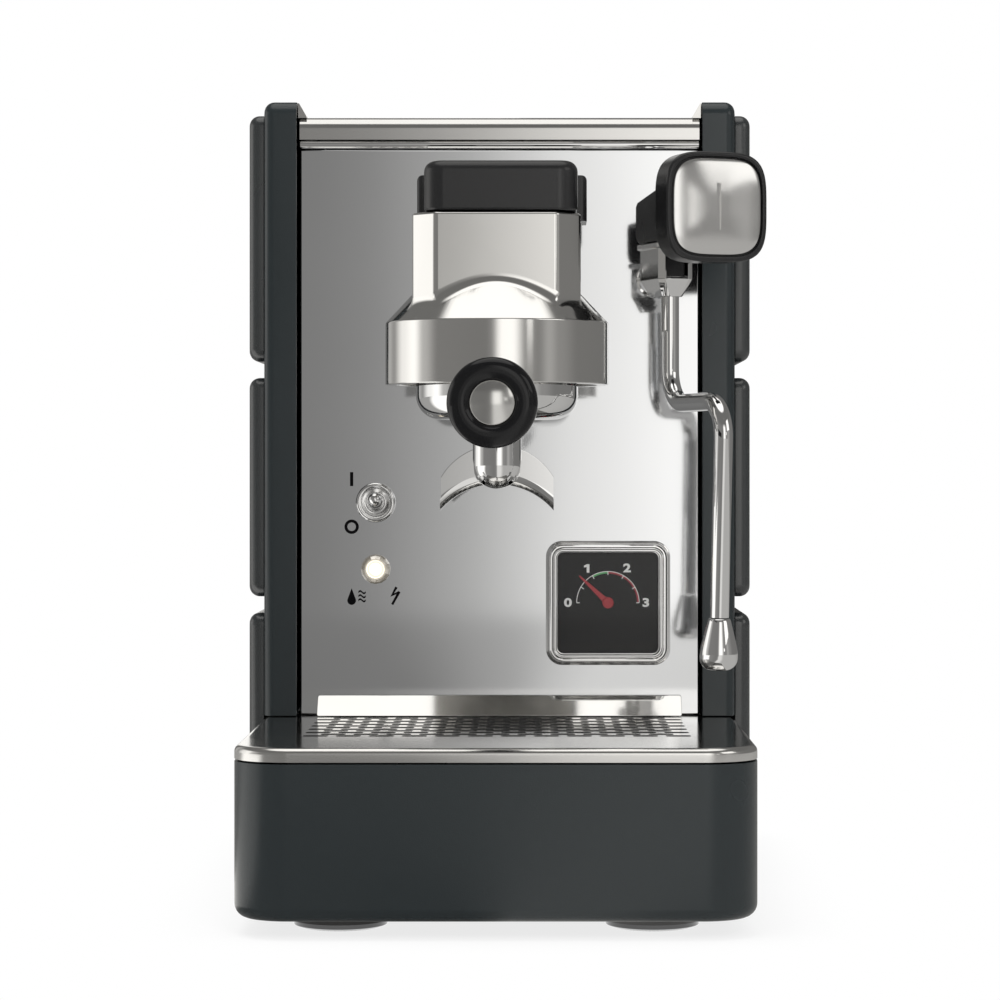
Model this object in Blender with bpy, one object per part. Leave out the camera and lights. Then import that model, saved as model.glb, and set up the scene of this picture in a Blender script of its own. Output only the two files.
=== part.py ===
"""Lever espresso machine, modelled piece by piece.

Metres, +Z up, +Y to the back, +X to the right of someone who stands in front of it. The origin is
on the floor, under the middle of the whole machine with its portafilter handle.
"""
import math

import bmesh
import bpy
from mathutils import Matrix, Vector

# Shared clearances, sheet thicknesses and the run of cutters past what they cut
GAP = 0.0003
SHADOW_GAP = 0.0011
OVERRUN = 0.004
SHEET = 0.0015
THIN_SHEET = 0.0012
MERGE = 0.000001

# Base housing, whose depth comes from the tower on it
BASE_WIDTH = 0.231
BASE_BEHIND = 0.010
BASE_BOTTOM = 0.008
BASE_TOP = 0.077
BASE_WALL = 0.0015
BASE_CORNER = 0.025
BASE_EDGE = 0.006

# Reach of the portafilter handle in front of the base
HANDLE_REACH = 0.117

# Feet
FOOT_RADIUS = 0.021
FOOT_EDGE = 0.0015
FOOT_SPREAD = 0.070
FOOT_INSET = 0.050

# Drip tray
TRAY_WIDTH = 0.184
TRAY_LENGTH = 0.156
TRAY_FRONT_DEPTH = 0.014
TRAY_CORNER = 0.008
TRAY_DRAFT = 0.004
TRAY_WALL = 0.0014
TRAY_RIM = 0.006
TRAY_RIM_THICK = 0.0016

# Deck: the tray cover in front and the top of the chassis behind it
DECK_TOP = 0.084
DECK_EDGE = 0.003
SEAM_INSET = 0.0010
SLOT_LENGTH = 0.0108
SLOT_WIDTH = 0.0052
SLOT_PITCH = 0.015
SLOT_ROW_PITCH = 0.0095
SLOT_FIELD_WIDTH = 0.184
SLOT_FIELD_FRONT = 0.066
SLOT_ROWS = 12
LIP_WIDTH = 0.179
LIP_HEIGHT = 0.0097
LIP_CORNER = 0.0025
LIP_INSET = 0.0045

# Tower: side frames, pads, panels and top
TOWER_FRONT_DEPTH = 0.180
TOWER_TOP = 0.386
FRAME_INNER = 0.0995
FRAME_THICK = 0.0162
FRAME_WALL = 0.002
FRAME_BEND = 0.007
FRAME_EDGE = 0.005
PAD_THICK = 0.0076
PAD_EDGE = 0.005
PAD_CORNER = 0.006
PAD_FRONT_INSET = 0.008
PAD_UPPER_HEIGHT = 0.1215
PAD_HEIGHT = 0.108
PAD_SPACE = 0.008
PAD_TOP_INSET = 0.006
PANEL_RECESS = 0.010
PANEL_FLANGE = 0.010
PLATE_THICK = 0.002
TRIM_TOP = 0.3789
TRIM_EDGE = 0.0032
TRIM_INSET = 0.004
TRIM_SKIRT = 0.0113
RAIL_HEIGHT = 0.0039
RAIL_INSET = 0.0018
RAIL_DEPTH = 0.012
COVER_SEAM_INSET = 0.0035
VENT_LENGTH = 0.036
VENT_WIDTH = 0.004
VENT_PITCH = 0.014
VENT_COUNT = 9
VENT_DEPTH = 0.250
LOUVRE_LENGTH = 0.090
LOUVRE_WIDTH = 0.004
LOUVRE_PITCH = 0.012
LOUVRE_COUNT = 8
LOUVRE_LEVEL = 0.230

# Water tank, its shelf and its lid
TANK_WIDTH = 0.176
TANK_LENGTH = 0.080
TANK_FRONT_ROOM = 0.0005
TANK_BACK_ROOM = 0.0015
TANK_BOTTOM = 0.190
TANK_WALL = 0.0022
TANK_CORNER = 0.012
SPIGOT_RADIUS = 0.009
SPIGOT_LENGTH = 0.013
SHELF_FLANGE = 0.030
SHELF_LIP = 0.010
FINGER_HOLE = 0.012

# Group head: bell, shoulder and block
GROUP_DEPTH = 0.072
BELL_RADIUS = 0.0509
BELL_BOTTOM = 0.2436
BELL_TOP = 0.2725
BELL_EDGE = 0.0012
BLOCK_HALF_WIDTH = 0.0379
BLOCK_FRONT = 0.034
BLOCK_TOP = 0.3204
BLOCK_CORNER = 0.011
BLOCK_BEVEL = 0.0015
BLOCK_WALL = 0.003
BLOCK_SOLID = 0.033
LEDGE_RADIUS = 0.0382
LEDGE_RISE = 0.0026
LEDGE_THICK = 0.0064
CHAMBER_RADIUS = 0.0452
CHAMBER_HEIGHT = 0.0094
GROOVE_DEPTH = 0.0083
BOSS_RADIUS = 0.0287
BOSS_DROP = 0.0060
LUG_SPAN = 40
LUG_GAP_SPAN = 47
UNLOCK_TURN = 45
SCREEN_THICK = 0.0010
NECK_RADIUS = 0.014
NECK_LEVEL = 0.300
NECK_FLANGE_RADIUS = 0.024
NECK_FLANGE_THICK = 0.006

# Portafilter
BOWL_RADIUS = 0.037
BOWL_BOTTOM = 0.228
BOWL_ROUND = 0.011
BOWL_BORE = 0.0305
BOWL_FLOOR = 0.0055
LUG_RADIUS = 0.0445
LUG_HEIGHT = 0.0066
OUTLET_RADIUS = 0.004
BASKET_SHEET = 0.0009
BASKET_RADIUS = 0.0300
BASKET_TAPER = 0.0014
BASKET_DEPTH = 0.0235
BASKET_RIM = 0.0358
BASKET_ROUND = 0.002
HANDLE_LEVEL = 0.2365
HANDLE_SLOPE = 1.5
SOCKET_RADIUS = 0.0065
SOCKET_END = 0.060
HANDLE_ROOT_RADIUS = 0.0095
HANDLE_WAIST_RADIUS = 0.0118
HANDLE_END_RADIUS = 0.0183
HANDLE_END_ROUND = 0.0045
HANDLE_DISH_RADIUS = 0.0112
HANDLE_DISH = 0.0010
BUTTON_RADIUS = 0.00925
BUTTON_SEAT = 0.004
BUTTON_DOME = 0.0025

# Twin spout
SPOUT_NECK_RADIUS = 0.0112
SPOUT_BOTTOM = 0.196
SPOUT_HALF_WIDTH = 0.0258
SPOUT_HALF_DEPTH = 0.0100
SPOUT_WALL = 0.0016
SPOUT_UNDER_RADIUS = 0.0404
SPOUT_RIM_RADIUS = 0.0299
SPOUT_RIM_RISE = 0.0162
SPOUT_ROUND = 0.0065
SPOUT_PORT_RADIUS = 0.0032
SPOUT_PORT_RISE = 0.0105

# Paddle lever on the group
LEVER_SHIFT = 0.002
LEVER_BACK_HALF = 0.0395
LEVER_FRONT_HALF = 0.0345
LEVER_CORNER = 0.009
LEVER_EDGE = 0.005
LEVER_TOP = 0.3435
LEVER_RISE = 0.0006
LEVER_STEP_DEPTH = 0.098
LEVER_OVERLAP = 0.008
LEVER_HINGE_DEPTH = 0.125
LEVER_KNUCKLE = 0.0103
LEVER_EAR_HALF = 0.015
LEVER_EAR_RADIUS = 0.007
LEVER_EAR_ROOM = 0.0015
LEVER_PIN_RADIUS = 0.003
LEVER_PIN_HALF = 0.030
PIN_ROOM = 0.0004

# Steam tap, turned about its vertical pipe towards the right
TAP_X = 0.0806
TAP_DEPTH = 0.110
TAP_YAW = 20
TAP_BOTTOM = 0.286
TAP_WIDTH = 0.0172
TAP_LENGTH = 0.0271
TAP_BEHIND = 0.0182
TAP_CHAMFER_HEIGHT = 0.0080
TAP_CHAMFER = 0.0035
TAP_SHOULDER = 0.308
TAP_TOP = 0.3111
TAP_COLLAR = 0.0012
TAP_ROUND = 0.0012
TAP_SLOT_HALF = 0.0055
TAP_SLOT_FLOOR = 0.2936
TAP_SLOT_BEHIND = 0.004
TAP_EAR_HALF = 0.003
TAP_EAR_RADIUS = 0.0045
TAP_EAR_ROOM = 0.0016
TAP_KNUCKLE = 0.0056
TAP_PIN_RADIUS = 0.002
TAP_PIN_HALF = 0.0070
TAP_SHANK_SHIFT = 0.0046
TAP_SHANK_RADIUS = 0.0085
TAP_SHANK_LEVEL = 0.299
TAP_THREAD_RADIUS = 0.0075
TAP_THREAD_END = 0.014
TAP_ROSE_RADIUS = 0.0112
TAP_ROSE_THICK = 0.003
WAND_SOCKET_DEPTH = 0.0046
WAND_SOCKET_ROOM = 0.0006

# Tap lever and its knob
ARM_HALF_WIDTH = 0.0098
ARM_BACK_TOP = 0.0180
ARM_TOP = 0.0240
ARM_CREST = 0.004
ARM_KNOB_RISE = 0.005
ARM_KNOB_TOP = 0.0222
ARM_CORNER = 0.002
TAIL_HALF_WIDTH = 0.0049
TAIL_BOTTOM = 0.2955
TAIL_FRONT = 0.0065
TAIL_BEHIND = 0.001
KNOB_REACH = 0.057
KNOB_LEVEL = 0.324
KNOB_WIDTH = 0.0495
KNOB_HEIGHT = 0.0500
KNOB_THICK = 0.0130
KNOB_BACK_ROUND = 0.003
KNOB_FRONT_ROUND = 0.0014
KNOB_RIM = 0.0027
KNOB_RECESS = 0.0020
KNOB_FACE_DOME = 0.0009
KNOB_SQUARENESS = 3.8

# Steam wand
WAND_RADIUS = 0.00425
WAND_RUN_LEVEL = 0.236
WAND_RUN = 0.0639
WAND_LEAN = 0.0055
WAND_BEND = 0.0100
WAND_END = 0.1384
TIP_RADIUS = 0.0086
TIP_LENGTH = 0.0239
TIP_WIDEST = 0.0145
TIP_ROUND = 0.0055

# Toggle switch and pilot lamp
CONTROL_X = -0.0611
SWITCH_LEVEL = 0.189
SWITCH_RADIUS = 0.0098
SWITCH_HEIGHT = 0.0038
SWITCH_EDGE = 0.0012
SWITCH_DISH_RADIUS = 0.0074
SWITCH_DISH_DEPTH = 0.0030
SWITCH_SOCKET_DEPTH = 0.0050
THREAD_RADIUS = 0.0060
THREAD_LENGTH = 0.016
HOLE_ROOM = 0.0005
BAT_BALL_RADIUS = 0.0028
BAT_NECK_RADIUS = 0.0016
BAT_TIP_RADIUS = 0.0034
BAT_LENGTH = 0.0145
BAT_TILT = 8
LAMP_LEVEL = 0.1561
LAMP_RADIUS = 0.0073
LAMP_HEIGHT = 0.0046
LAMP_RIM = 0.0012

# Pressure gauge
GAUGE_X = 0.0534
GAUGE_LEVEL = 0.1396
GAUGE_SIZE = 0.061
GAUGE_CORNER = 0.009
GAUGE_HEIGHT = 0.0085
GAUGE_EDGE = 0.0016
GAUGE_WINDOW = 0.0506
GAUGE_WINDOW_CORNER = 0.0055
GAUGE_BACK = 0.0012
GAUGE_CAN_RADIUS = 0.026
GAUGE_CAN_LENGTH = 0.020
DIAL_THICK = 0.0010
NEEDLE_LENGTH = 0.0196
NEEDLE_TAIL = 0.006
NEEDLE_HALF_WIDTH = 0.0011
NEEDLE_TIP_HALF_WIDTH = 0.0004
NEEDLE_THICK = 0.0006
NEEDLE_HUB_RADIUS = 0.0028
NEEDLE_HUB_HEIGHT = 0.0020
NEEDLE_ANGLE = 136.7
GLASS_THICK = 0.0012
GLASS_INSET = 0.0008

# Mains inlet
INLET_X = 0.060
INLET_LEVEL = 0.122
INLET_WIDTH = 0.027
INLET_HEIGHT = 0.020
INLET_CORNER = 0.003
INLET_BODY = 0.022
INLET_FLANGE = 0.0025
INLET_FLANGE_THICK = 0.0022
INLET_WALL = 0.002
INLET_SOCKET = 0.016
INLET_BLADE = 0.002
INLET_BLADE_HEIGHT = 0.006
INLET_BLADE_SPREAD = 0.007

# Boiler and what is mounted on it
BOILER_ROOM = 0.0275
BOILER_RADIUS = 0.038
BOILER_BOTTOM = 0.235
BOILER_TOP = 0.345
BOILER_SHOULDER = 0.006
BOILER_FLANGE = 0.003
BOILER_FLANGE_THICK = 0.005
ELEMENT_RADIUS = 0.026
ELEMENT_THICK = 0.006
ELEMENT_PIN_RADIUS = 0.0028
ELEMENT_PIN_LENGTH = 0.014
ELEMENT_PIN_SPREAD = 0.012
PRESSURE_X = 0.017
PRESSURE_STALK_RADIUS = 0.004
PRESSURE_STALK = 0.007
PRESSURE_RADIUS = 0.014
PRESSURE_HEIGHT = 0.018

# Solenoid valve on the mounting plate
SOLENOID_X = -0.056
SOLENOID_LEVEL = 0.262
SOLENOID_WIDTH = 0.024
SOLENOID_LENGTH = 0.018
SOLENOID_HEIGHT = 0.030
COIL_RADIUS = 0.0085
COIL_HEIGHT = 0.034

# Pump with its rubber saddle
PUMP_X = -0.055
PUMP_LEVEL = 0.040
PUMP_ROOM = 0.025
PUMP_NIPPLE_RADIUS = 0.003
PUMP_NIPPLE = 0.010
PUMP_HEAD_RADIUS = 0.008
PUMP_HEAD = 0.018
PUMP_COIL_RADIUS = 0.0225
PUMP_COIL = 0.057
PUMP_BARREL_RADIUS = 0.012
PUMP_BARREL = 0.020
PUMP_INLET_RADIUS = 0.004
PUMP_INLET = 0.015
SADDLE_HALF_WIDTH = 0.020
SADDLE_LENGTH = 0.040

# Control box
BOX_X = 0.052
BOX_WIDTH = 0.085
BOX_LENGTH = 0.110
BOX_ROOM = 0.025
BOX_HEIGHT = 0.045
BOX_ROUND = 0.003

# Hose and pipes inside
HOSE_INSET = 0.040
HOSE_RADIUS = 0.0045
HOSE_BEND = 0.012
HOSE_HOLE_ROOM = 0.0025
FEED_X = -0.080
FEED_ROOM = 0.014
FEED_LEVEL = 0.250
PIPE_RADIUS = 0.0025
PIPE_BEND = 0.008
STEAM_PIPE_RADIUS = 0.003

# Finishes: colour, metallic, roughness
PAINT = ((0.034, 0.045, 0.048), 0.0, 0.45)
PAD_PAINT = ((0.030, 0.038, 0.040), 0.0, 0.5)
POLISHED = ((0.78, 0.77, 0.75), 1.0, 0.06)
SATIN = ((0.60, 0.60, 0.59), 1.0, 0.25)
CHROME = ((0.80, 0.80, 0.80), 1.0, 0.04)
BLACK = ((0.028, 0.028, 0.028), 0.0, 0.35)
GLOSS_BLACK = ((0.015, 0.015, 0.015), 0.0, 0.12)
RUBBER = ((0.02, 0.02, 0.02), 0.0, 0.7)
BRASS = ((0.60, 0.45, 0.20), 1.0, 0.25)
COPPER = ((0.70, 0.36, 0.22), 1.0, 0.25)
RED = ((0.40, 0.02, 0.03), 0.0, 0.4)
CLEAR = ((0.90, 0.92, 0.92), 0.0, 0.05)
SMOKED = ((0.20, 0.23, 0.25), 0.0, 0.15)
LIT = ((1.0, 0.86, 0.62), 0.0, 0.2)
SILICONE = ((0.75, 0.75, 0.72), 0.0, 0.5)


# Depths behind the front of the base, worked out from front to back
PANEL_DEPTH = TOWER_FRONT_DEPTH + PANEL_RECESS
PLATE_BACK_DEPTH = PANEL_DEPTH + THIN_SHEET + GAP + PLATE_THICK
BOILER_DEPTH = PLATE_BACK_DEPTH + BOILER_ROOM + BOILER_RADIUS + BOILER_FLANGE
TANK_FRONT_DEPTH = BOILER_DEPTH + BOILER_RADIUS + BOILER_FLANGE + TANK_FRONT_ROOM
COVER_SEAM_DEPTH = TANK_FRONT_DEPTH - COVER_SEAM_INSET
TOWER_BACK_DEPTH = TANK_FRONT_DEPTH + TANK_LENGTH + TANK_BACK_ROOM + PANEL_FLANGE
BASE_DEPTH = TOWER_BACK_DEPTH + BASE_BEHIND
PUMP_FRONT_DEPTH = PANEL_DEPTH + PUMP_ROOM
BOX_FRONT_DEPTH = PANEL_DEPTH + BOX_ROOM
FEED_DEPTH = PANEL_DEPTH + FEED_ROOM
HOSE_DEPTH = TOWER_BACK_DEPTH - HOSE_INSET
FRONT = HANDLE_REACH - (BASE_DEPTH + HANDLE_REACH) / 2
BACK = FRONT + BASE_DEPTH


# Places worked out from the sizes above
def behind(depth):
    """The y of a plane that lies the given depth behind the front of the base."""
    return FRONT + depth


BASE_FLOOR = BASE_BOTTOM + BASE_WALL
TOWER_FRONT = behind(TOWER_FRONT_DEPTH)
TOWER_BACK = behind(TOWER_BACK_DEPTH)
DECK_SEAM = behind(PANEL_DEPTH) - SEAM_INSET
TOWER_FLOOR = DECK_TOP + GAP
PANEL_FACE = behind(PANEL_DEPTH)
PANEL_HALF = FRAME_INNER - SHADOW_GAP
PLATE_FACE = PANEL_FACE + THIN_SHEET + GAP
PLATE_BACK = behind(PLATE_BACK_DEPTH)
COVER_BOTTOM = TRIM_TOP - TRIM_SKIRT
RAIL_TOP = COVER_BOTTOM - GAP
RAIL_BOTTOM = RAIL_TOP - RAIL_HEIGHT
PANEL_TOP = RAIL_BOTTOM - GAP
COVER_UNDERSIDE = TRIM_TOP - THIN_SHEET
GROUP_Y = behind(GROUP_DEPTH)
BOILER_Y = behind(BOILER_DEPTH)
TAP_Y = behind(TAP_DEPTH)
TAP_TURN = Matrix.Translation((TAP_X, TAP_Y, 0)) @ Matrix.Rotation(math.radians(TAP_YAW), 4, "Z")
LEDGE_TOP = BELL_BOTTOM + LEDGE_RISE + LEDGE_THICK
CHAMBER_TOP = LEDGE_TOP + CHAMBER_HEIGHT
GROOVE_TOP = CHAMBER_TOP + GROOVE_DEPTH
BOSS_BOTTOM = GROOVE_TOP - BOSS_DROP
LUG_BOTTOM = LEDGE_TOP + GAP
BOWL_TOP = LUG_BOTTOM + LUG_HEIGHT + GAP
BASKET_TOP = BOWL_TOP + GAP + BASKET_SHEET
GASKET_BOTTOM = BASKET_TOP + GAP
LEVER_HINGE = Vector((LEVER_SHIFT, behind(LEVER_HINGE_DEPTH), BLOCK_TOP + GAP + LEVER_KNUCKLE))
ARM_BOTTOM = TAP_TOP + GAP
ARM_HINGE_BEHIND = TAP_BEHIND + TAP_COLLAR - TAP_KNUCKLE
ARM_HINGE_LEVEL = ARM_BOTTOM + TAP_KNUCKLE


# Modelling steps that several pieces share
def remove_everything():
    """Empty the scene of its objects."""
    for thing in list(bpy.data.objects):
        bpy.data.objects.remove(thing, do_unlink=True)


def finish_material(name, look):
    """A Principled material of the given colour, metallic value and roughness."""
    colour, metallic, roughness = look
    material = bpy.data.materials.new(name)
    material.use_nodes = True
    shader = material.node_tree.nodes["Principled BSDF"]
    shader.inputs["Base Color"].default_value = (*colour, 1.0)
    shader.inputs["Metallic"].default_value = metallic
    shader.inputs["Roughness"].default_value = roughness
    return material


def piece(name, bm, look, pivot=(0, 0, 0), place=None):
    """Make a bmesh into a named object whose origin is the pivot."""
    if place is not None:
        bm.transform(place)
    bm.transform(Matrix.Translation(-Vector(pivot)))
    mesh = bpy.data.meshes.new(name)
    bm.to_mesh(mesh)
    bm.free()
    mesh.shade_smooth()
    mesh.set_sharp_from_angle(angle=math.radians(32))
    thing = bpy.data.objects.new(name, mesh)
    thing.location = pivot
    bpy.context.scene.collection.objects.link(thing)
    if look is not None:
        mesh.materials.append(finish_material(name + "_finish", look))
    return thing


def combine(thing, bm, operation, place=None):
    """Join a bmesh to a piece, or cut it away, with a Boolean modifier and a hidden tool body."""
    label = f"{thing.name}_{operation.lower()}_{len(thing.modifiers)}"
    tool = piece(label, bm, None, place=place)
    tool.hide_render = True
    tool.display_type = "WIRE"
    step = thing.modifiers.new(label, "BOOLEAN")
    step.operation = operation
    step.solver = "EXACT"
    step.object = tool


def fuse(thing, bm, place=None):
    """Join a bmesh to a piece."""
    combine(thing, bm, "UNION", place)


def cut(thing, bm, place=None):
    """Cut a bmesh out of a piece."""
    combine(thing, bm, "DIFFERENCE", place)


def wall(thing, thickness):
    """Give an open skin its wall, inwards from the modelled side."""
    step = thing.modifiers.new("wall", "SOLIDIFY")
    step.thickness = thickness
    step.offset = -1
    step.use_even_offset = True


def arc(centre, radius, start, end, steps):
    """Points on an arc from one angle to another, both in degrees."""
    points = []
    for step in range(steps + 1):
        angle = math.radians(start + (end - start) * step / steps)
        points.append((centre[0] + radius * math.cos(angle), centre[1] + radius * math.sin(angle)))
    return points


def rectangle(width, height, corner=0, centre=(0, 0), steps=4):
    """The outline of a rectangle, with round corners where a corner radius is given."""
    points = []
    for turn, (right, up) in enumerate(((1, 1), (-1, 1), (-1, -1), (1, -1))):
        middle = (centre[0] + right * (width / 2 - corner), centre[1] + up * (height / 2 - corner))
        if corner:
            points += arc(middle, corner, 90 * turn, 90 * (turn + 1), steps)
        else:
            points.append(middle)
    return points


def squircle(width, height, count=24):
    """A superellipse outline, squarer than an ellipse and softer than a rectangle."""
    points = []
    for step in range(count):
        angle = 2 * math.pi * (step + 0.5) / count
        across = math.copysign(abs(math.cos(angle)) ** (2 / KNOB_SQUARENESS), math.cos(angle))
        up = math.copysign(abs(math.sin(angle)) ** (2 / KNOB_SQUARENESS), math.sin(angle))
        points.append((width / 2 * across, height / 2 * up))
    return points


def put(point, axis, height):
    """A point of a flat outline, placed at a height along the axis that the outline faces."""
    u, v = point
    return {"X": (height, u, v), "Y": (u, height, v), "Z": (u, v, height)}[axis]


def prism(outline, axis, low, high, bm=None):
    """Extrude a flat outline along an axis into a closed solid."""
    bm = bm or bmesh.new()
    face = bm.faces.new([bm.verts.new(put(point, axis, low)) for point in outline])
    grown = bmesh.ops.extrude_face_region(bm, geom=[face])["geom"]
    moved = [item for item in grown if isinstance(item, bmesh.types.BMVert)]
    bmesh.ops.translate(bm, verts=moved, vec=Vector(put((0, 0), axis, high - low)))
    bmesh.ops.recalc_face_normals(bm, faces=bm.faces)
    return bm


def box(low, high, bm=None):
    """A plain closed block between two corners."""
    outline = [(low[0], low[1]), (high[0], low[1]), (high[0], high[1]), (low[0], high[1])]
    return prism(outline, "Z", low[2], high[2], bm)


def loft(rings):
    """Bridge a stack of closed outlines and cap both ends."""
    bm = bmesh.new()
    loops = []
    for ring in rings:
        verts = [bm.verts.new(point) for point in ring]
        loops.append([bm.edges.new((a, b)) for a, b in zip(verts, verts[1:] + verts[:1])])
    for lower, upper in zip(loops, loops[1:]):
        bmesh.ops.bridge_loops(bm, edges=lower + upper)
    for loop in (loops[0], loops[-1]):
        bmesh.ops.contextual_create(bm, geom=loop)
    bmesh.ops.recalc_face_normals(bm, faces=bm.faces)
    return bm


def turned(profile, steps, centre=(0, 0, 0), direction=(0, 0, 1), closed=False, sweep=360):
    """Spin a profile of (radius, height) points about an axis through the centre.

    An open profile starts and ends on the axis. A closed one goes round the wall of a ring.
    """
    bm = bmesh.new()
    verts = [bm.verts.new((radius, 0, height)) for radius, height in profile]
    pairs = list(zip(verts, verts[1:]))
    if closed:
        pairs.append((verts[-1], verts[0]))
    edges = [bm.edges.new(pair) for pair in pairs]
    geometry = verts + edges
    if sweep < 360:
        geometry.append(bm.faces.new(verts))
    bmesh.ops.spin(bm, geom=geometry, cent=(0, 0, 0), axis=(0, 0, 1), angle=math.radians(sweep),
                   steps=steps, use_merge=sweep == 360)
    bmesh.ops.remove_doubles(bm, verts=bm.verts, dist=MERGE)
    bmesh.ops.recalc_face_normals(bm, faces=bm.faces)
    turn = Vector((0, 0, 1)).rotation_difference(Vector(direction)).to_matrix().to_4x4()
    bm.transform(Matrix.Translation(centre) @ turn)
    return bm


def rod(radius, low, high, steps, centre=(0, 0, 0), direction=(0, 0, 1)):
    """A plain round bar, from one height to another along its direction."""
    return turned([(0, low), (radius, low), (radius, high), (0, high)], steps, centre, direction)


def bevel(bm, chosen, width, segments):
    """Round the edges whose two ends pass the test."""
    edges = [edge for edge in bm.edges if chosen(edge.verts[0].co) and chosen(edge.verts[1].co)]
    bmesh.ops.bevel(bm, geom=edges, offset=width, offset_type="OFFSET", segments=segments,
                    profile=0.5, affect="EDGES")


def open_side(bm, direction):
    """Take away the flat faces that look along a direction, to leave a skin that is open there."""
    direction = Vector(direction)
    faces = [face for face in bm.faces if face.normal.dot(direction) > 0.999]
    bmesh.ops.delete(bm, geom=faces, context="FACES")


def at_level(level, axis=2):
    """A test for points that lie in the plane at a level along an axis."""
    return lambda point: abs(point[axis] - level) < MERGE * 10


def pipe(name, corners, radius, bend, look, pivot=(0, 0, 0), steps=3):
    """A round pipe along straight runs with circular bends."""
    corners = [Vector(corner) for corner in corners]
    route = [corners[0]]
    for before, here, after in zip(corners, corners[1:], corners[2:]):
        back = (before - here).normalized()
        ahead = (after - here).normalized()
        half = back.angle(ahead) / 2
        centre = here + (back + ahead).normalized() * bend / math.sin(half)
        first = (here + back * bend / math.tan(half) - centre).normalized()
        last = (here + ahead * bend / math.tan(half) - centre).normalized()
        route += [centre + first.slerp(last, step / steps) * bend for step in range(steps + 1)]
    route.append(corners[-1])
    curve = bpy.data.curves.new(name, "CURVE")
    curve.dimensions = "3D"
    curve.bevel_depth = radius
    curve.bevel_resolution = 2
    curve.use_fill_caps = True
    spline = curve.splines.new("POLY")
    spline.points.add(len(route) - 1)
    for point, spot in zip(spline.points, route):
        point.co = (*(spot - Vector(pivot)), 1)
    curve.materials.append(finish_material(name + "_finish", look))
    thing = bpy.data.objects.new(name, curve)
    thing.location = pivot
    bpy.context.scene.collection.objects.link(thing)
    return thing


def base_housing():
    """Painted steel tub: the walls and floor of the base, open at the top."""
    outline = rectangle(BASE_WIDTH, BASE_DEPTH, BASE_CORNER, (0, (FRONT + BACK) / 2), 5)
    bm = prism(outline, "Z", BASE_BOTTOM, BASE_TOP)
    bevel(bm, at_level(BASE_BOTTOM), BASE_EDGE, 2)
    open_side(bm, (0, 0, 1))
    wall(piece("base_housing", bm, PAINT), BASE_WALL)


def feet():
    """Four round feet under the base."""
    top = BASE_BOTTOM - GAP
    profile = [(0, 0), (FOOT_RADIUS - FOOT_EDGE, 0), (FOOT_RADIUS, FOOT_EDGE),
               (FOOT_RADIUS, top - FOOT_EDGE), (FOOT_RADIUS - FOOT_EDGE, top), (0, top)]
    for row, y in (("front", FRONT + FOOT_INSET), ("rear", BACK - FOOT_INSET)):
        for side, x in (("left", -FOOT_SPREAD), ("right", FOOT_SPREAD)):
            piece(f"foot_{row}_{side}", turned(profile, 14, (x, y, 0)), GLOSS_BLACK)


def drip_tray():
    """Pressed tray that stands in the base, with a rim that carries the slotted cover."""
    floor = BASE_FLOOR + GAP
    top = DECK_TOP - THIN_SHEET - GAP
    middle = (0, behind(TRAY_FRONT_DEPTH) + TRAY_LENGTH / 2)

    def level(inset, height):
        corner = TRAY_CORNER - inset
        outline = rectangle(TRAY_WIDTH - 2 * inset, TRAY_LENGTH - 2 * inset, corner, middle, 2)
        return [put(point, "Z", height) for point in outline]

    tray = piece("drip_tray", loft([level(TRAY_DRAFT, floor), level(0, top)]), POLISHED)
    rim = rectangle(TRAY_WIDTH + 2 * TRAY_RIM, TRAY_LENGTH + 2 * TRAY_RIM, TRAY_CORNER + TRAY_RIM,
                    middle, 2)
    fuse(tray, prism(rim, "Z", top - TRAY_RIM_THICK, top))
    rise = (OVERRUN + top - floor) / (top - floor)
    hollow = [level(TRAY_DRAFT + TRAY_WALL, floor + TRAY_WALL),
              level(TRAY_DRAFT * (1 - rise) + TRAY_WALL, top + OVERRUN)]
    cut(tray, loft(hollow))


def tray_cover():
    """Polished cover of the drip tray: a shallow lid with staggered slots."""
    half = BASE_WIDTH / 2
    rear = TOWER_FRONT - GAP
    outline = arc((-half + BASE_CORNER, FRONT + BASE_CORNER), BASE_CORNER, 180, 270, 5)
    outline += arc((half - BASE_CORNER, FRONT + BASE_CORNER), BASE_CORNER, 270, 360, 5)
    outline += [(half, rear), (PANEL_HALF, rear), (PANEL_HALF, DECK_SEAM),
                (-PANEL_HALF, DECK_SEAM), (-PANEL_HALF, rear), (-half, rear)]
    bm = prism(outline, "Z", BASE_TOP + GAP, DECK_TOP)
    front_and_sides = at_level(DECK_TOP)
    bevel(bm, lambda point: front_and_sides(point) and (abs(point.x) > PANEL_HALF + GAP
                                                        or point.y < FRONT + GAP), DECK_EDGE, 2)
    open_side(bm, (0, 0, -1))
    cover = piece("tray_cover", bm, POLISHED)
    wall(cover, THIN_SHEET)
    slots = bmesh.new()
    for row in range(SLOT_ROWS):
        shift = SLOT_PITCH / 2 * (row % 2)
        y = behind(SLOT_FIELD_FRONT) + SLOT_ROW_PITCH * row
        room = SLOT_FIELD_WIDTH - SLOT_LENGTH - 2 * shift
        count = int(room / SLOT_PITCH + MERGE) + 1
        for column in range(count):
            x = SLOT_PITCH * (column - (count - 1) / 2)
            slot = rectangle(SLOT_LENGTH, SLOT_WIDTH, 0, (x, y))
            prism(slot, "Z", DECK_TOP - THIN_SHEET - OVERRUN, DECK_TOP + OVERRUN, slots)
    cut(cover, slots)


def cover_lip():
    """Upright strip along the back of the tray cover, to lift it by."""
    middle = DECK_TOP + GAP + LIP_HEIGHT / 2
    outline = rectangle(LIP_WIDTH, LIP_HEIGHT, LIP_CORNER, (0, middle), 2)
    back = DECK_SEAM - LIP_INSET + THIN_SHEET
    piece("cover_lip", prism(outline, "Y", back - THIN_SHEET, back), POLISHED)


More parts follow.
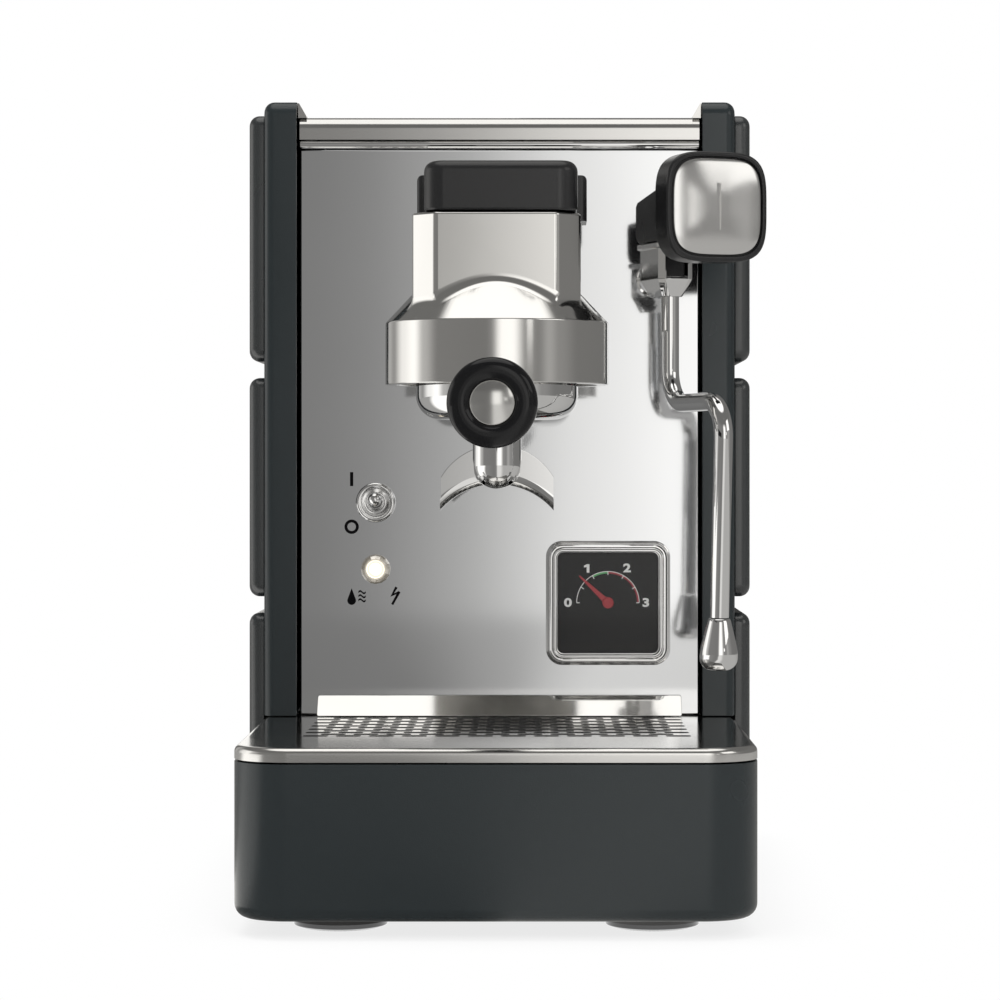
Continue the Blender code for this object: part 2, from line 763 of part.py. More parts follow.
def chassis_deck():
    """Folded steel top of the chassis, under the tower, with a wall behind the drip tray."""
    half = BASE_WIDTH / 2
    front = TOWER_FRONT
    seam = DECK_SEAM + GAP
    notch = PANEL_HALF + GAP
    outline = [(-half, front), (-notch, front), (-notch, seam), (notch, seam), (notch, front),
               (half, front)]
    outline += arc((half - BASE_CORNER, BACK - BASE_CORNER), BASE_CORNER, 0, 90, 5)
    outline += arc((-half + BASE_CORNER, BACK - BASE_CORNER), BASE_CORNER, 90, 180, 5)
    bm = prism(outline, "Z", BASE_TOP + GAP, DECK_TOP)
    top = at_level(DECK_TOP)
    edges = [edge for edge in bm.edges if all(top(vert.co) for vert in edge.verts)
             and max(vert.co.y for vert in edge.verts) > seam + GAP]
    bmesh.ops.bevel(bm, geom=edges, offset=DECK_EDGE, offset_type="OFFSET", segments=2,
                    profile=0.5, affect="EDGES")
    open_side(bm, (0, 0, -1))
    deck = piece("chassis_deck", bm, SATIN)
    wall(deck, SHEET)
    bulkhead_half = half - BASE_WALL - BASE_EDGE
    fuse(deck, box((-bulkhead_half, seam + SHEET / 2, BASE_FLOOR + GAP),
                   (bulkhead_half, seam + SHEET + SHEET / 2, DECK_TOP - SHEET / 2)))
    for x, depth, radius in ((PUMP_X, HOSE_DEPTH, HOSE_RADIUS), (FEED_X, FEED_DEPTH, PIPE_RADIUS)):
        hole = rod(radius + HOSE_HOLE_ROOM, BASE_TOP, DECK_TOP + OVERRUN, 10, (x, behind(depth), 0))
        cut(deck, hole)


def side_frames():
    """Painted side frames of the tower: pressed pans, open towards the inside."""
    centre = ((TOWER_FRONT + TOWER_BACK) / 2, (TOWER_FLOOR + TOWER_TOP) / 2)
    outline = rectangle(TOWER_BACK - TOWER_FRONT, TOWER_TOP - TOWER_FLOOR, FRAME_BEND, centre, 2)
    for name, side in (("left", -1), ("right", 1)):
        outer = side * (FRAME_INNER + FRAME_THICK)
        bm = prism(outline, "X", side * FRAME_INNER, outer)
        bevel(bm, at_level(outer, 0), FRAME_EDGE, 2)
        open_side(bm, (-side, 0, 0))
        wall(piece(f"side_frame_{name}", bm, PAINT), FRAME_WALL)


def side_pads():
    """Three soft-edged pads on the outside of each side frame."""
    front = TOWER_FRONT + PAD_FRONT_INSET
    for name, side in (("left", -1), ("right", 1)):
        inner = side * (FRAME_INNER + FRAME_THICK + GAP)
        outer = inner + side * PAD_THICK
        top = TOWER_TOP - PAD_TOP_INSET
        for row, height in (("upper", PAD_UPPER_HEIGHT), ("middle", PAD_HEIGHT),
                            ("lower", PAD_HEIGHT)):
            centre = ((front + TOWER_BACK) / 2, top - height / 2)
            outline = rectangle(TOWER_BACK - front, height, PAD_CORNER, centre, 2)
            bm = prism(outline, "X", inner, outer)
            bevel(bm, at_level(outer, 0), PAD_EDGE, 2)
            piece(f"side_pad_{name}_{row}", bm, PAD_PAINT)
            top -= height + PAD_SPACE


def panel_holes(thing, room):
    """Holes for what passes through the front panel and the mounting plate behind it."""
    front = PANEL_FACE - OVERRUN
    back = PLATE_BACK + OVERRUN
    for x, level, radius, steps in (
            (0, NECK_LEVEL, NECK_RADIUS, 16),
            (TAP_X - TAP_SHANK_SHIFT, TAP_SHANK_LEVEL, TAP_THREAD_RADIUS, 12),
            (GAUGE_X, GAUGE_LEVEL, GAUGE_CAN_RADIUS, 24),
            (CONTROL_X, SWITCH_LEVEL, THREAD_RADIUS, 12),
            (CONTROL_X, LAMP_LEVEL, THREAD_RADIUS, 12)):
        cut(thing, rod(radius + room, front, back, steps, (x, 0, level), (0, 1, 0)))


def front_panel():
    """Polished front panel: a flat sheet with all four edges folded back."""
    outline = rectangle(2 * PANEL_HALF, PANEL_TOP - TOWER_FLOOR, 0, (0, (TOWER_FLOOR + PANEL_TOP) / 2))
    bm = prism(outline, "Y", PANEL_FACE, PANEL_FACE + PANEL_FLANGE)
    open_side(bm, (0, 1, 0))
    panel = piece("front_panel", bm, POLISHED)
    wall(panel, THIN_SHEET)
    panel_holes(panel, HOLE_ROOM)


def mounting_plate():
    """Flat steel plate behind the panel, which carries the group, the tap and the boiler."""
    inset = THIN_SHEET + GAP
    outline = rectangle(2 * (PANEL_HALF - inset), PANEL_TOP - TOWER_FLOOR - 2 * inset, 0,
                        (0, (TOWER_FLOOR + PANEL_TOP) / 2))
    plate = piece("mounting_plate", prism(outline, "Y", PLATE_FACE, PLATE_BACK), SATIN)
    panel_holes(plate, HOLE_ROOM)


def top_rail():
    """Bright bar across the tower, between the front panel and the top cover."""
    front = PANEL_FACE - RAIL_INSET
    bm = box((-PANEL_HALF, front, RAIL_BOTTOM), (PANEL_HALF, front + RAIL_DEPTH, RAIL_TOP))
    piece("top_rail", bm, CHROME)


def cover_lid(name, front, back, rounded):
    """A folded lid on top of the tower, with its skirt all round."""
    outline = rectangle(2 * PANEL_HALF, back - front, 0, (0, (front + back) / 2))
    bm = prism(outline, "Z", COVER_BOTTOM, TRIM_TOP)
    top = at_level(TRIM_TOP)
    bevel(bm, lambda point: top(point) and abs(point.y - rounded) < GAP, TRIM_EDGE, 3)
    open_side(bm, (0, 0, -1))
    lid = piece(name, bm, POLISHED)
    wall(lid, THIN_SHEET)
    return lid


def top_cover():
    """Front half of the tower's top, which warms cups, with vent slots over the boiler."""
    front = PANEL_FACE - TRIM_INSET
    cover = cover_lid("top_cover", front, behind(COVER_SEAM_DEPTH), front)
    slots = bmesh.new()
    for number in range(VENT_COUNT):
        x = VENT_PITCH * (number - (VENT_COUNT - 1) / 2)
        slot = rectangle(VENT_WIDTH, VENT_LENGTH, 0, (x, behind(VENT_DEPTH)))
        prism(slot, "Z", COVER_UNDERSIDE - OVERRUN, TRIM_TOP + OVERRUN, slots)
    cut(cover, slots)


def tank_lid():
    """Rear half of the tower's top: the lid of the water tank, with a finger hole."""
    front = behind(COVER_SEAM_DEPTH) + GAP
    lid = cover_lid("tank_lid", front, TOWER_BACK, TOWER_BACK)
    middle = (0, (front + TOWER_BACK) / 2, 0)
    cut(lid, rod(FINGER_HOLE, COVER_UNDERSIDE - OVERRUN, TRIM_TOP + OVERRUN, 16, middle))


def water_tank():
    """Moulded tank, open at the top, with a valve spigot under it."""
    top = COVER_UNDERSIDE - GAP
    middle = (0, behind(TANK_FRONT_DEPTH) + TANK_LENGTH / 2)
    outline = rectangle(TANK_WIDTH, TANK_LENGTH, TANK_CORNER, middle, 2)
    tank = piece("water_tank", prism(outline, "Z", TANK_BOTTOM, top), SMOKED)
    room = rectangle(TANK_WIDTH - 2 * TANK_WALL, TANK_LENGTH - 2 * TANK_WALL,
                     TANK_CORNER - TANK_WALL, middle, 2)
    cut(tank, prism(room, "Z", TANK_BOTTOM + TANK_WALL, top + OVERRUN))
    spigot = rod(SPIGOT_RADIUS, TANK_BOTTOM - SPIGOT_LENGTH, TANK_BOTTOM + TANK_WALL / 2, 12,
                 (PUMP_X, behind(HOSE_DEPTH), 0))
    fuse(tank, spigot)


def tank_shelf():
    """Folded shelf under the tank, fixed to the rear panel."""
    top = TANK_BOTTOM - GAP
    front = behind(TANK_FRONT_DEPTH) - OVERRUN
    back = TOWER_BACK - THIN_SHEET - GAP
    outline = [(front, top - SHELF_LIP), (front + SHEET, top - SHELF_LIP),
               (front + SHEET, top - SHEET), (back - SHEET, top - SHEET),
               (back - SHEET, top - SHELF_FLANGE), (back, top - SHELF_FLANGE), (back, top),
               (front, top)]
    half = PANEL_HALF - THIN_SHEET - GAP
    shelf = piece("tank_shelf", prism(outline, "X", -half, half), SATIN)
    cut(shelf, rod(SPIGOT_RADIUS + HOLE_ROOM, top - OVERRUN, top + OVERRUN, 14,
                   (PUMP_X, behind(HOSE_DEPTH), 0)))


def rear_panel():
    """Painted back of the tower, with louvres and the opening for the mains inlet."""
    top = COVER_BOTTOM - GAP
    outline = rectangle(2 * PANEL_HALF, top - TOWER_FLOOR, 0, (0, (TOWER_FLOOR + top) / 2))
    bm = prism(outline, "Y", TOWER_BACK - PANEL_FLANGE, TOWER_BACK)
    open_side(bm, (0, -1, 0))
    panel = piece("rear_panel", bm, PAINT)
    wall(panel, THIN_SHEET)
    openings = bmesh.new()
    for number in range(LOUVRE_COUNT):
        level = LOUVRE_LEVEL + LOUVRE_PITCH * number
        slot = rectangle(LOUVRE_LENGTH, LOUVRE_WIDTH, 0, (0, level))
        prism(slot, "Y", TOWER_BACK - THIN_SHEET - OVERRUN, TOWER_BACK + OVERRUN, openings)
    inlet = rectangle(INLET_WIDTH + 2 * GAP, INLET_HEIGHT + 2 * GAP, INLET_CORNER + GAP,
                      (INLET_X, INLET_LEVEL), 2)
    prism(inlet, "Y", TOWER_BACK - THIN_SHEET - OVERRUN, TOWER_BACK + OVERRUN, openings)
    cut(panel, openings)


def mains_inlet():
    """Mains inlet with its three blades, in the rear panel."""
    centre = (INLET_X, INLET_LEVEL)
    face = TOWER_BACK + GAP
    outer = rectangle(INLET_WIDTH, INLET_HEIGHT, INLET_CORNER, centre, 2)
    inlet = piece("mains_inlet", prism(outer, "Y", TOWER_BACK - INLET_BODY, face + GAP), BLACK)
    flange = rectangle(INLET_WIDTH + 2 * INLET_FLANGE, INLET_HEIGHT + 2 * INLET_FLANGE,
                       INLET_CORNER, centre, 2)
    fuse(inlet, prism(flange, "Y", face, face + INLET_FLANGE_THICK))
    socket = rectangle(INLET_WIDTH - 2 * INLET_WALL, INLET_HEIGHT - 2 * INLET_WALL,
                       INLET_CORNER - INLET_WALL / 2, centre, 2)
    floor = face + INLET_FLANGE_THICK - INLET_SOCKET
    cut(inlet, prism(socket, "Y", floor, face + INLET_FLANGE_THICK + OVERRUN))
    for number in (-1, 0, 1):
        spot = (INLET_X + number * INLET_BLADE_SPREAD,
                INLET_LEVEL + (1 - 2 * abs(number)) * INLET_BLADE)
        blade = rectangle(INLET_BLADE, INLET_BLADE_HEIGHT, 0, spot)
        fuse(inlet, prism(blade, "Y", floor - INLET_WALL / 2, face - INLET_WALL))


def group_head():
    """Polished group: a bell with the bayonet for the portafilter, and a hollow block behind it."""
    shoulder = BELL_RADIUS - BOSS_RADIUS
    profile = [(0, BOSS_BOTTOM), (BOSS_RADIUS, BOSS_BOTTOM), (BOSS_RADIUS, GROOVE_TOP),
               (LEDGE_RADIUS + GAP, GROOVE_TOP), (LEDGE_RADIUS + GAP, CHAMBER_TOP),
               (CHAMBER_RADIUS, CHAMBER_TOP), (CHAMBER_RADIUS, LEDGE_TOP), (LEDGE_RADIUS, LEDGE_TOP),
               (LEDGE_RADIUS, BELL_BOTTOM + LEDGE_RISE), (CHAMBER_RADIUS, BELL_BOTTOM + LEDGE_RISE),
               (CHAMBER_RADIUS, BELL_BOTTOM), (BELL_RADIUS - BELL_EDGE, BELL_BOTTOM),
               (BELL_RADIUS, BELL_BOTTOM + BELL_EDGE), (BELL_RADIUS, BELL_TOP),
               (BELL_RADIUS - shoulder, BELL_TOP + shoulder), (0, BELL_TOP + shoulder)]
    bell = turned(profile, 32, (0, GROUP_Y, 0))
    group = piece("group_head", bell, POLISHED, pivot=(0, GROUP_Y, 0))
    for turn in (0, 180):
        middle = turn - UNLOCK_TURN
        start, end = middle - LUG_GAP_SPAN / 2, middle + LUG_GAP_SPAN / 2
        inner = LEDGE_RADIUS - OVERRUN
        sector = arc((0, GROUP_Y), inner, start, end, 3)
        sector += arc((0, GROUP_Y), CHAMBER_RADIUS, end, start, 6)
        cut(group, prism(sector, "Z", BELL_BOTTOM + LEDGE_RISE / 2, LEDGE_TOP + LEDGE_RISE / 2))
    half = BLOCK_HALF_WIDTH
    front = GROUP_Y - BLOCK_FRONT
    back = PANEL_FACE - GAP
    outline = arc((-half + BLOCK_CORNER, front + BLOCK_CORNER), BLOCK_CORNER, 180, 270, 4)
    outline += arc((half - BLOCK_CORNER, front + BLOCK_CORNER), BLOCK_CORNER, 270, 360, 4)
    outline += [(half, back), (-half, back)]
    bottom = (GROOVE_TOP + BELL_TOP) / 2
    block = prism(outline, "Z", bottom, BLOCK_TOP)
    bevel(block, at_level(BLOCK_TOP), BLOCK_BEVEL, 1)
    fuse(group, block)
    hollow = box((-half + BLOCK_WALL, GROUP_Y + BLOCK_SOLID, bottom + BLOCK_WALL),
                 (half - BLOCK_WALL, back + OVERRUN, BLOCK_TOP - BLOCK_WALL))
    cut(group, hollow)


def group_gasket():
    """Rubber ring in the groove of the group, which the basket's rim presses on."""
    inner = BOSS_RADIUS + GAP
    top = GROOVE_TOP - GAP
    profile = [(inner, GASKET_BOTTOM), (LEDGE_RADIUS, GASKET_BOTTOM), (LEDGE_RADIUS, top),
               (inner, top)]
    piece("group_gasket", turned(profile, 32, (0, GROUP_Y, 0), closed=True), RUBBER)


def shower_screen():
    """Thin round screen under the boss of the group."""
    top = BOSS_BOTTOM - GAP
    piece("shower_screen", rod(BOSS_RADIUS - GAP, top - SCREEN_THICK, top, 20, (0, GROUP_Y, 0)), SATIN)


def group_neck():
    """Brass neck that joins the group to the boiler, with its flange on the mounting plate."""
    start = GROUP_Y + BLOCK_SOLID + GAP
    end = BOILER_Y - BOILER_RADIUS - GAP
    flange = PLATE_BACK + GAP
    profile = [(0, start), (NECK_RADIUS, start), (NECK_RADIUS, flange),
               (NECK_FLANGE_RADIUS, flange), (NECK_FLANGE_RADIUS, flange + NECK_FLANGE_THICK),
               (NECK_RADIUS, flange + NECK_FLANGE_THICK), (NECK_RADIUS, end), (0, end)]
    piece("group_neck", turned(profile, 16, (0, 0, NECK_LEVEL), (0, 1, 0)), BRASS)


def lever_bracket():
    """Ear on top of the group that carries the paddle lever's pin."""
    foot = BLOCK_TOP + GAP
    y, z = LEVER_HINGE.y, LEVER_HINGE.z
    outline = [(y - LEVER_EAR_RADIUS, foot), (y + LEVER_EAR_RADIUS, foot)]
    outline += arc((y, z), LEVER_EAR_RADIUS, 0, 180, 6)
    bm = prism(outline, "X", LEVER_SHIFT - LEVER_EAR_HALF, LEVER_SHIFT + LEVER_EAR_HALF)
    bracket = piece("lever_bracket", bm, SATIN)
    reach = LEVER_EAR_HALF + OVERRUN
    cut(bracket, rod(LEVER_PIN_RADIUS + PIN_ROOM, -reach, reach, 12, LEVER_HINGE, (1, 0, 0)))


def lever_pin():
    """Hinge pin of the paddle lever."""
    bm = rod(LEVER_PIN_RADIUS, -LEVER_PIN_HALF, LEVER_PIN_HALF, 12, LEVER_HINGE, (1, 0, 0))
    piece("lever_pin", bm, SATIN)


def brew_lever():
    """Black paddle that starts and stops the brewing, on its hinge at the back."""
    y, z = LEVER_HINGE.y, LEVER_HINGE.z
    front = GROUP_Y - BLOCK_FRONT
    step = behind(LEVER_STEP_DEPTH)
    centre = (LEVER_SHIFT, (front + step + LEVER_OVERLAP) / 2)
    depth = step + LEVER_OVERLAP - front
    outline = rectangle(2 * LEVER_FRONT_HALF, depth, LEVER_CORNER, centre, 4)
    bottom = BLOCK_TOP + GAP
    paddle = prism(outline, "Z", bottom + LEVER_RISE, LEVER_TOP)
    bevel(paddle, at_level(LEVER_TOP), LEVER_EDGE, 2)
    lever = piece("brew_lever", paddle, BLACK, pivot=LEVER_HINGE)
    side = [(step, bottom), (y, bottom)] + arc((y, z), LEVER_KNUCKLE, -90, 90, 8)[1:]
    side += [(step, z + LEVER_KNUCKLE + LEVER_RISE)]
    low, high = LEVER_SHIFT - LEVER_BACK_HALF, LEVER_SHIFT + LEVER_BACK_HALF
    back = prism(side, "X", low, high)
    for end in (low, high):
        bevel(back, lambda point: abs(point.x - end) < MERGE * 10 and point.z > bottom + GAP,
              LEVER_EDGE / 2, 2)
    fuse(lever, back)
    room = LEVER_EAR_RADIUS + LEVER_EAR_ROOM
    half = LEVER_EAR_HALF + LEVER_EAR_ROOM / 2
    reach = math.hypot(LEVER_EAR_RADIUS, LEVER_KNUCKLE) + LEVER_EAR_ROOM / 2
    cut(lever, box((LEVER_SHIFT - half, y - reach, bottom - OVERRUN),
                   (LEVER_SHIFT + half, y + LEVER_KNUCKLE + OVERRUN, z + room)))
    reach = LEVER_PIN_HALF + PIN_ROOM
    cut(lever, rod(LEVER_PIN_RADIUS + PIN_ROOM, -reach, reach, 12, LEVER_HINGE, (1, 0, 0)))


def handle_place():
    """Turn and place the handle's own axis: it leaves the bowl forwards and slopes down."""
    tilt = Matrix.Rotation(math.radians(90 + HANDLE_SLOPE), 4, "X")
    return Matrix.Translation((0, GROUP_Y, HANDLE_LEVEL)) @ tilt


def portafilter_body():
    """Bowl of the portafilter, with two bayonet lugs and the socket of its handle."""
    rounding = arc((BOWL_RADIUS - BOWL_ROUND, BOWL_BOTTOM + BOWL_ROUND), BOWL_ROUND, -90, 0, 3)
    floor = BOWL_BOTTOM + BOWL_FLOOR
    profile = [(OUTLET_RADIUS, BOWL_BOTTOM)] + rounding
    profile += [(BOWL_RADIUS, BOWL_TOP), (BOWL_BORE, BOWL_TOP), (BOWL_BORE, floor + BASKET_ROUND),
                (BOWL_BORE - BASKET_ROUND, floor), (OUTLET_RADIUS, floor)]
    bowl = turned(profile, 28, (0, GROUP_Y, 0), closed=True)
    body = piece("portafilter_body", bowl, CHROME, pivot=(0, GROUP_Y, 0))
    inner = (BOWL_RADIUS + BOWL_BORE) / 2
    for turn in (0, 180):
        sector = arc((0, GROUP_Y), inner, turn - LUG_SPAN / 2, turn + LUG_SPAN / 2, 4)
        sector += arc((0, GROUP_Y), LUG_RADIUS, turn + LUG_SPAN / 2, turn - LUG_SPAN / 2, 6)
        fuse(body, prism(sector, "Z", LUG_BOTTOM, LUG_BOTTOM + LUG_HEIGHT))
    fuse(body, rod(SOCKET_RADIUS, inner, SOCKET_END, 12), place=handle_place())


def portafilter_handle():
    """Black moulded handle, which swells to a dished end."""
    start = SOCKET_END + GAP
    tip = (HANDLE_REACH + GROUP_DEPTH) / math.cos(math.radians(HANDLE_SLOPE))
    end = tip - BUTTON_DOME + HANDLE_DISH
    length = end - start
    rim = HANDLE_END_RADIUS - HANDLE_END_ROUND
    profile = [(0, start), (HANDLE_ROOT_RADIUS, start)]
    shares = ((0.04, 0.10), (0.22, 0.16), (0.45, 0.22), (0.62, 0.34), (0.76, 0.58), (0.88, 0.86))
    for length_share, swell_share in shares:
        swell = HANDLE_WAIST_RADIUS - HANDLE_ROOT_RADIUS
        if swell_share > 0.2:
            swell += (HANDLE_END_RADIUS - HANDLE_WAIST_RADIUS) * (swell_share - 0.2) / 0.8
        else:
            swell *= swell_share / 0.2
        profile.append((HANDLE_ROOT_RADIUS + swell, start + length * length_share))
    profile += arc((rim, end - HANDLE_END_ROUND), HANDLE_END_ROUND, 0, 90, 4)
    profile += [(HANDLE_DISH_RADIUS, end), (BUTTON_RADIUS + GAP, end - HANDLE_DISH),
                (BUTTON_RADIUS + GAP, end - BUTTON_SEAT), (0, end - BUTTON_SEAT)]
    piece("portafilter_handle", turned(profile, 24), GLOSS_BLACK, pivot=(0, GROUP_Y, 0),
          place=handle_place())
    base = end - BUTTON_SEAT + GAP
    edge = end - HANDLE_DISH
    crown = edge + BUTTON_DOME
    radius = ((crown - edge) ** 2 + BUTTON_RADIUS ** 2) / (2 * (crown - edge))
    sweep = math.degrees(math.asin(BUTTON_RADIUS / radius))
    dome = arc((0, crown - radius), radius, 90 - sweep, 90, 3)
    profile = [(0, base), (BUTTON_RADIUS, base)] + dome[:-1] + [(0, crown)]
    piece("handle_button", turned(profile, 18), POLISHED, pivot=(0, GROUP_Y, 0),
          place=handle_place())


def filter_basket():
    """Pressed steel basket, which hangs by its rim in the bowl."""
    rim = BOWL_TOP + GAP
    bottom = rim - BASKET_DEPTH
    foot = BASKET_RADIUS - BASKET_TAPER
    profile = [(0, bottom), (foot - BASKET_ROUND, bottom), (foot, bottom + BASKET_ROUND),
               (BASKET_RADIUS, rim), (BASKET_RIM, rim), (BASKET_RIM, BASKET_TOP),
               (BASKET_RADIUS - BASKET_SHEET, BASKET_TOP),
               (foot - BASKET_SHEET, bottom + BASKET_ROUND),
               (foot - BASKET_ROUND, bottom + BASKET_SHEET), (0, bottom + BASKET_SHEET)]
    piece("filter_basket", turned(profile, 20, (0, GROUP_Y, 0)), SATIN, pivot=(0, GROUP_Y, 0))


def spout_channel(inset, overrun):
    """The arched trough of the twin spout, or the hollow inside it."""
    half = SPOUT_HALF_WIDTH
    under = SPOUT_BOTTOM - SPOUT_UNDER_RADIUS
    radius = SPOUT_UNDER_RADIUS + inset
    reach = math.degrees(math.asin((half + overrun) / radius))
    lower = arc((0, under), radius, 90 + reach, 90 - reach, 8)
    if overrun:
        top = SPOUT_BOTTOM + SPOUT_RIM_RADIUS + overrun
        outline = lower + [(half + overrun, top), (-half - overrun, top)]
    else:
        rim_centre = lower[-1][1] + SPOUT_RIM_RISE - math.sqrt(SPOUT_RIM_RADIUS ** 2 - half ** 2)
        sweep = math.degrees(math.asin(half / SPOUT_RIM_RADIUS))
        outline = lower + arc((0, rim_centre), SPOUT_RIM_RADIUS, 90 - sweep, 90 + sweep, 8)
    depth = SPOUT_HALF_DEPTH - inset
    bm = prism(outline, "Y", GROUP_Y - depth, GROUP_Y + depth)
    floor = [point[1] for point in lower]
    for side in (-1, 1):
        y = GROUP_Y + side * depth
        edges = [edge for edge in bm.edges
                 if all(abs(vert.co.y - y) < MERGE * 10 for vert in edge.verts)
                 and all(min(floor) - MERGE <= vert.co.z <= max(floor) + MERGE
                         and abs(math.hypot(vert.co.x, vert.co.z - under) - radius) < MERGE * 10
                         for vert in edge.verts)]
        bmesh.ops.bevel(bm, geom=edges, offset=SPOUT_ROUND - inset, offset_type="OFFSET",
                        segments=2, profile=0.5, affect="EDGES")
    return bm


def portafilter_spout():
    """Twin spout: a round neck that ends in a ball, over an open arched trough."""
    spout = piece("portafilter_spout", spout_channel(0, 0), CHROME, pivot=(0, GROUP_Y, 0))
    cut(spout, spout_channel(SPOUT_WALL, OVERRUN))
    radius = SPOUT_NECK_RADIUS
    ball = arc((0, SPOUT_BOTTOM + radius), radius, -90, 0, 4)
    top = BOWL_BOTTOM - GAP
    floor = SPOUT_BOTTOM + SPOUT_PORT_RISE - SPOUT_PORT_RADIUS
    profile = [(0, ball[0][1])] + ball[1:] + [(radius, top), (OUTLET_RADIUS, top),
                                              (OUTLET_RADIUS, floor), (0, floor)]
    fuse(spout, turned(profile, 20, (0, GROUP_Y, 0)))
    port = rod(SPOUT_PORT_RADIUS, -radius - OVERRUN, radius + OVERRUN, 10,
               (0, GROUP_Y, SPOUT_BOTTOM + SPOUT_PORT_RISE), (1, 0, 0))
    cut(spout, port)


def tap_ring(level, inset):
    """One level of the tap's body, in the tap's own frame with the front at negative y."""
    middle = (0, TAP_BEHIND - TAP_LENGTH / 2)
    outline = rectangle(TAP_WIDTH - 2 * inset, TAP_LENGTH - 2 * inset, TAP_ROUND, middle, 2)
    return [put(point, "Z", level) for point in outline]


def steam_tap():
    """Chrome body of the steam tap: a forked block on a shank through the front panel."""
    stack = [tap_ring(TAP_BOTTOM, TAP_CHAMFER), tap_ring(TAP_BOTTOM + TAP_CHAMFER_HEIGHT, 0),
             tap_ring(TAP_SHOULDER, 0), tap_ring(TAP_SHOULDER + TAP_COLLAR / 2, -TAP_COLLAR),
             tap_ring(TAP_TOP, -TAP_COLLAR)]
    tap = piece("steam_tap", loft(stack), CHROME, pivot=(TAP_X, TAP_Y, 0), place=TAP_TURN)
    front = TAP_BEHIND - TAP_LENGTH - TAP_COLLAR - OVERRUN
    cut(tap, box((-TAP_SLOT_HALF, front, TAP_SLOT_FLOOR),
                 (TAP_SLOT_HALF, TAP_SLOT_BEHIND, TAP_TOP + OVERRUN)), place=TAP_TURN)
    y, z = ARM_HINGE_BEHIND, ARM_HINGE_LEVEL
    foot = TAP_TOP - TAP_COLLAR
    ear = [(y - TAP_EAR_RADIUS, foot), (y + TAP_EAR_RADIUS, foot)] + arc((y, z), TAP_EAR_RADIUS,
                                                                         0, 180, 6)
    fuse(tap, prism(ear, "X", -TAP_EAR_HALF, TAP_EAR_HALF), place=TAP_TURN)
    shank_x = TAP_X - TAP_SHANK_SHIFT
    panel = PANEL_FACE - GAP
    end = PLATE_BACK + TAP_THREAD_END
    profile = [(0, TAP_Y + TAP_BEHIND / 2), (TAP_SHANK_RADIUS, TAP_Y + TAP_BEHIND / 2),
               (TAP_SHANK_RADIUS, panel - TAP_ROSE_THICK), (TAP_ROSE_RADIUS, panel - TAP_ROSE_THICK),
               (TAP_ROSE_RADIUS, panel), (TAP_THREAD_RADIUS, panel), (TAP_THREAD_RADIUS, end),
               (0, end)]
    fuse(tap, turned(profile, 14, (shank_x, 0, TAP_SHANK_LEVEL), (0, 1, 0)))
    reach = TAP_EAR_HALF + OVERRUN
    cut(tap, rod(TAP_PIN_RADIUS + PIN_ROOM, -reach, reach, 12, (0, y, z), (1, 0, 0)), place=TAP_TURN)
    cut(tap, rod(WAND_RADIUS + WAND_SOCKET_ROOM, TAP_BOTTOM - OVERRUN,
                 TAP_BOTTOM + WAND_SOCKET_DEPTH + GAP, 16), place=TAP_TURN)


def tap_lever_pin():
    """Hinge pin of the tap lever."""
    centre = (0, ARM_HINGE_BEHIND, ARM_HINGE_LEVEL)
    piece("tap_lever_pin", rod(TAP_PIN_RADIUS, -TAP_PIN_HALF, TAP_PIN_HALF, 12, centre, (1, 0, 0)),
          SATIN, place=TAP_TURN)


def knob_ring(reach, inset):
    """One outline of the knob, at a reach in front of the tap's axis."""
    outline = squircle(KNOB_WIDTH - 2 * inset, KNOB_HEIGHT - 2 * inset)
    return [(across, -reach, KNOB_LEVEL + up) for across, up in outline]


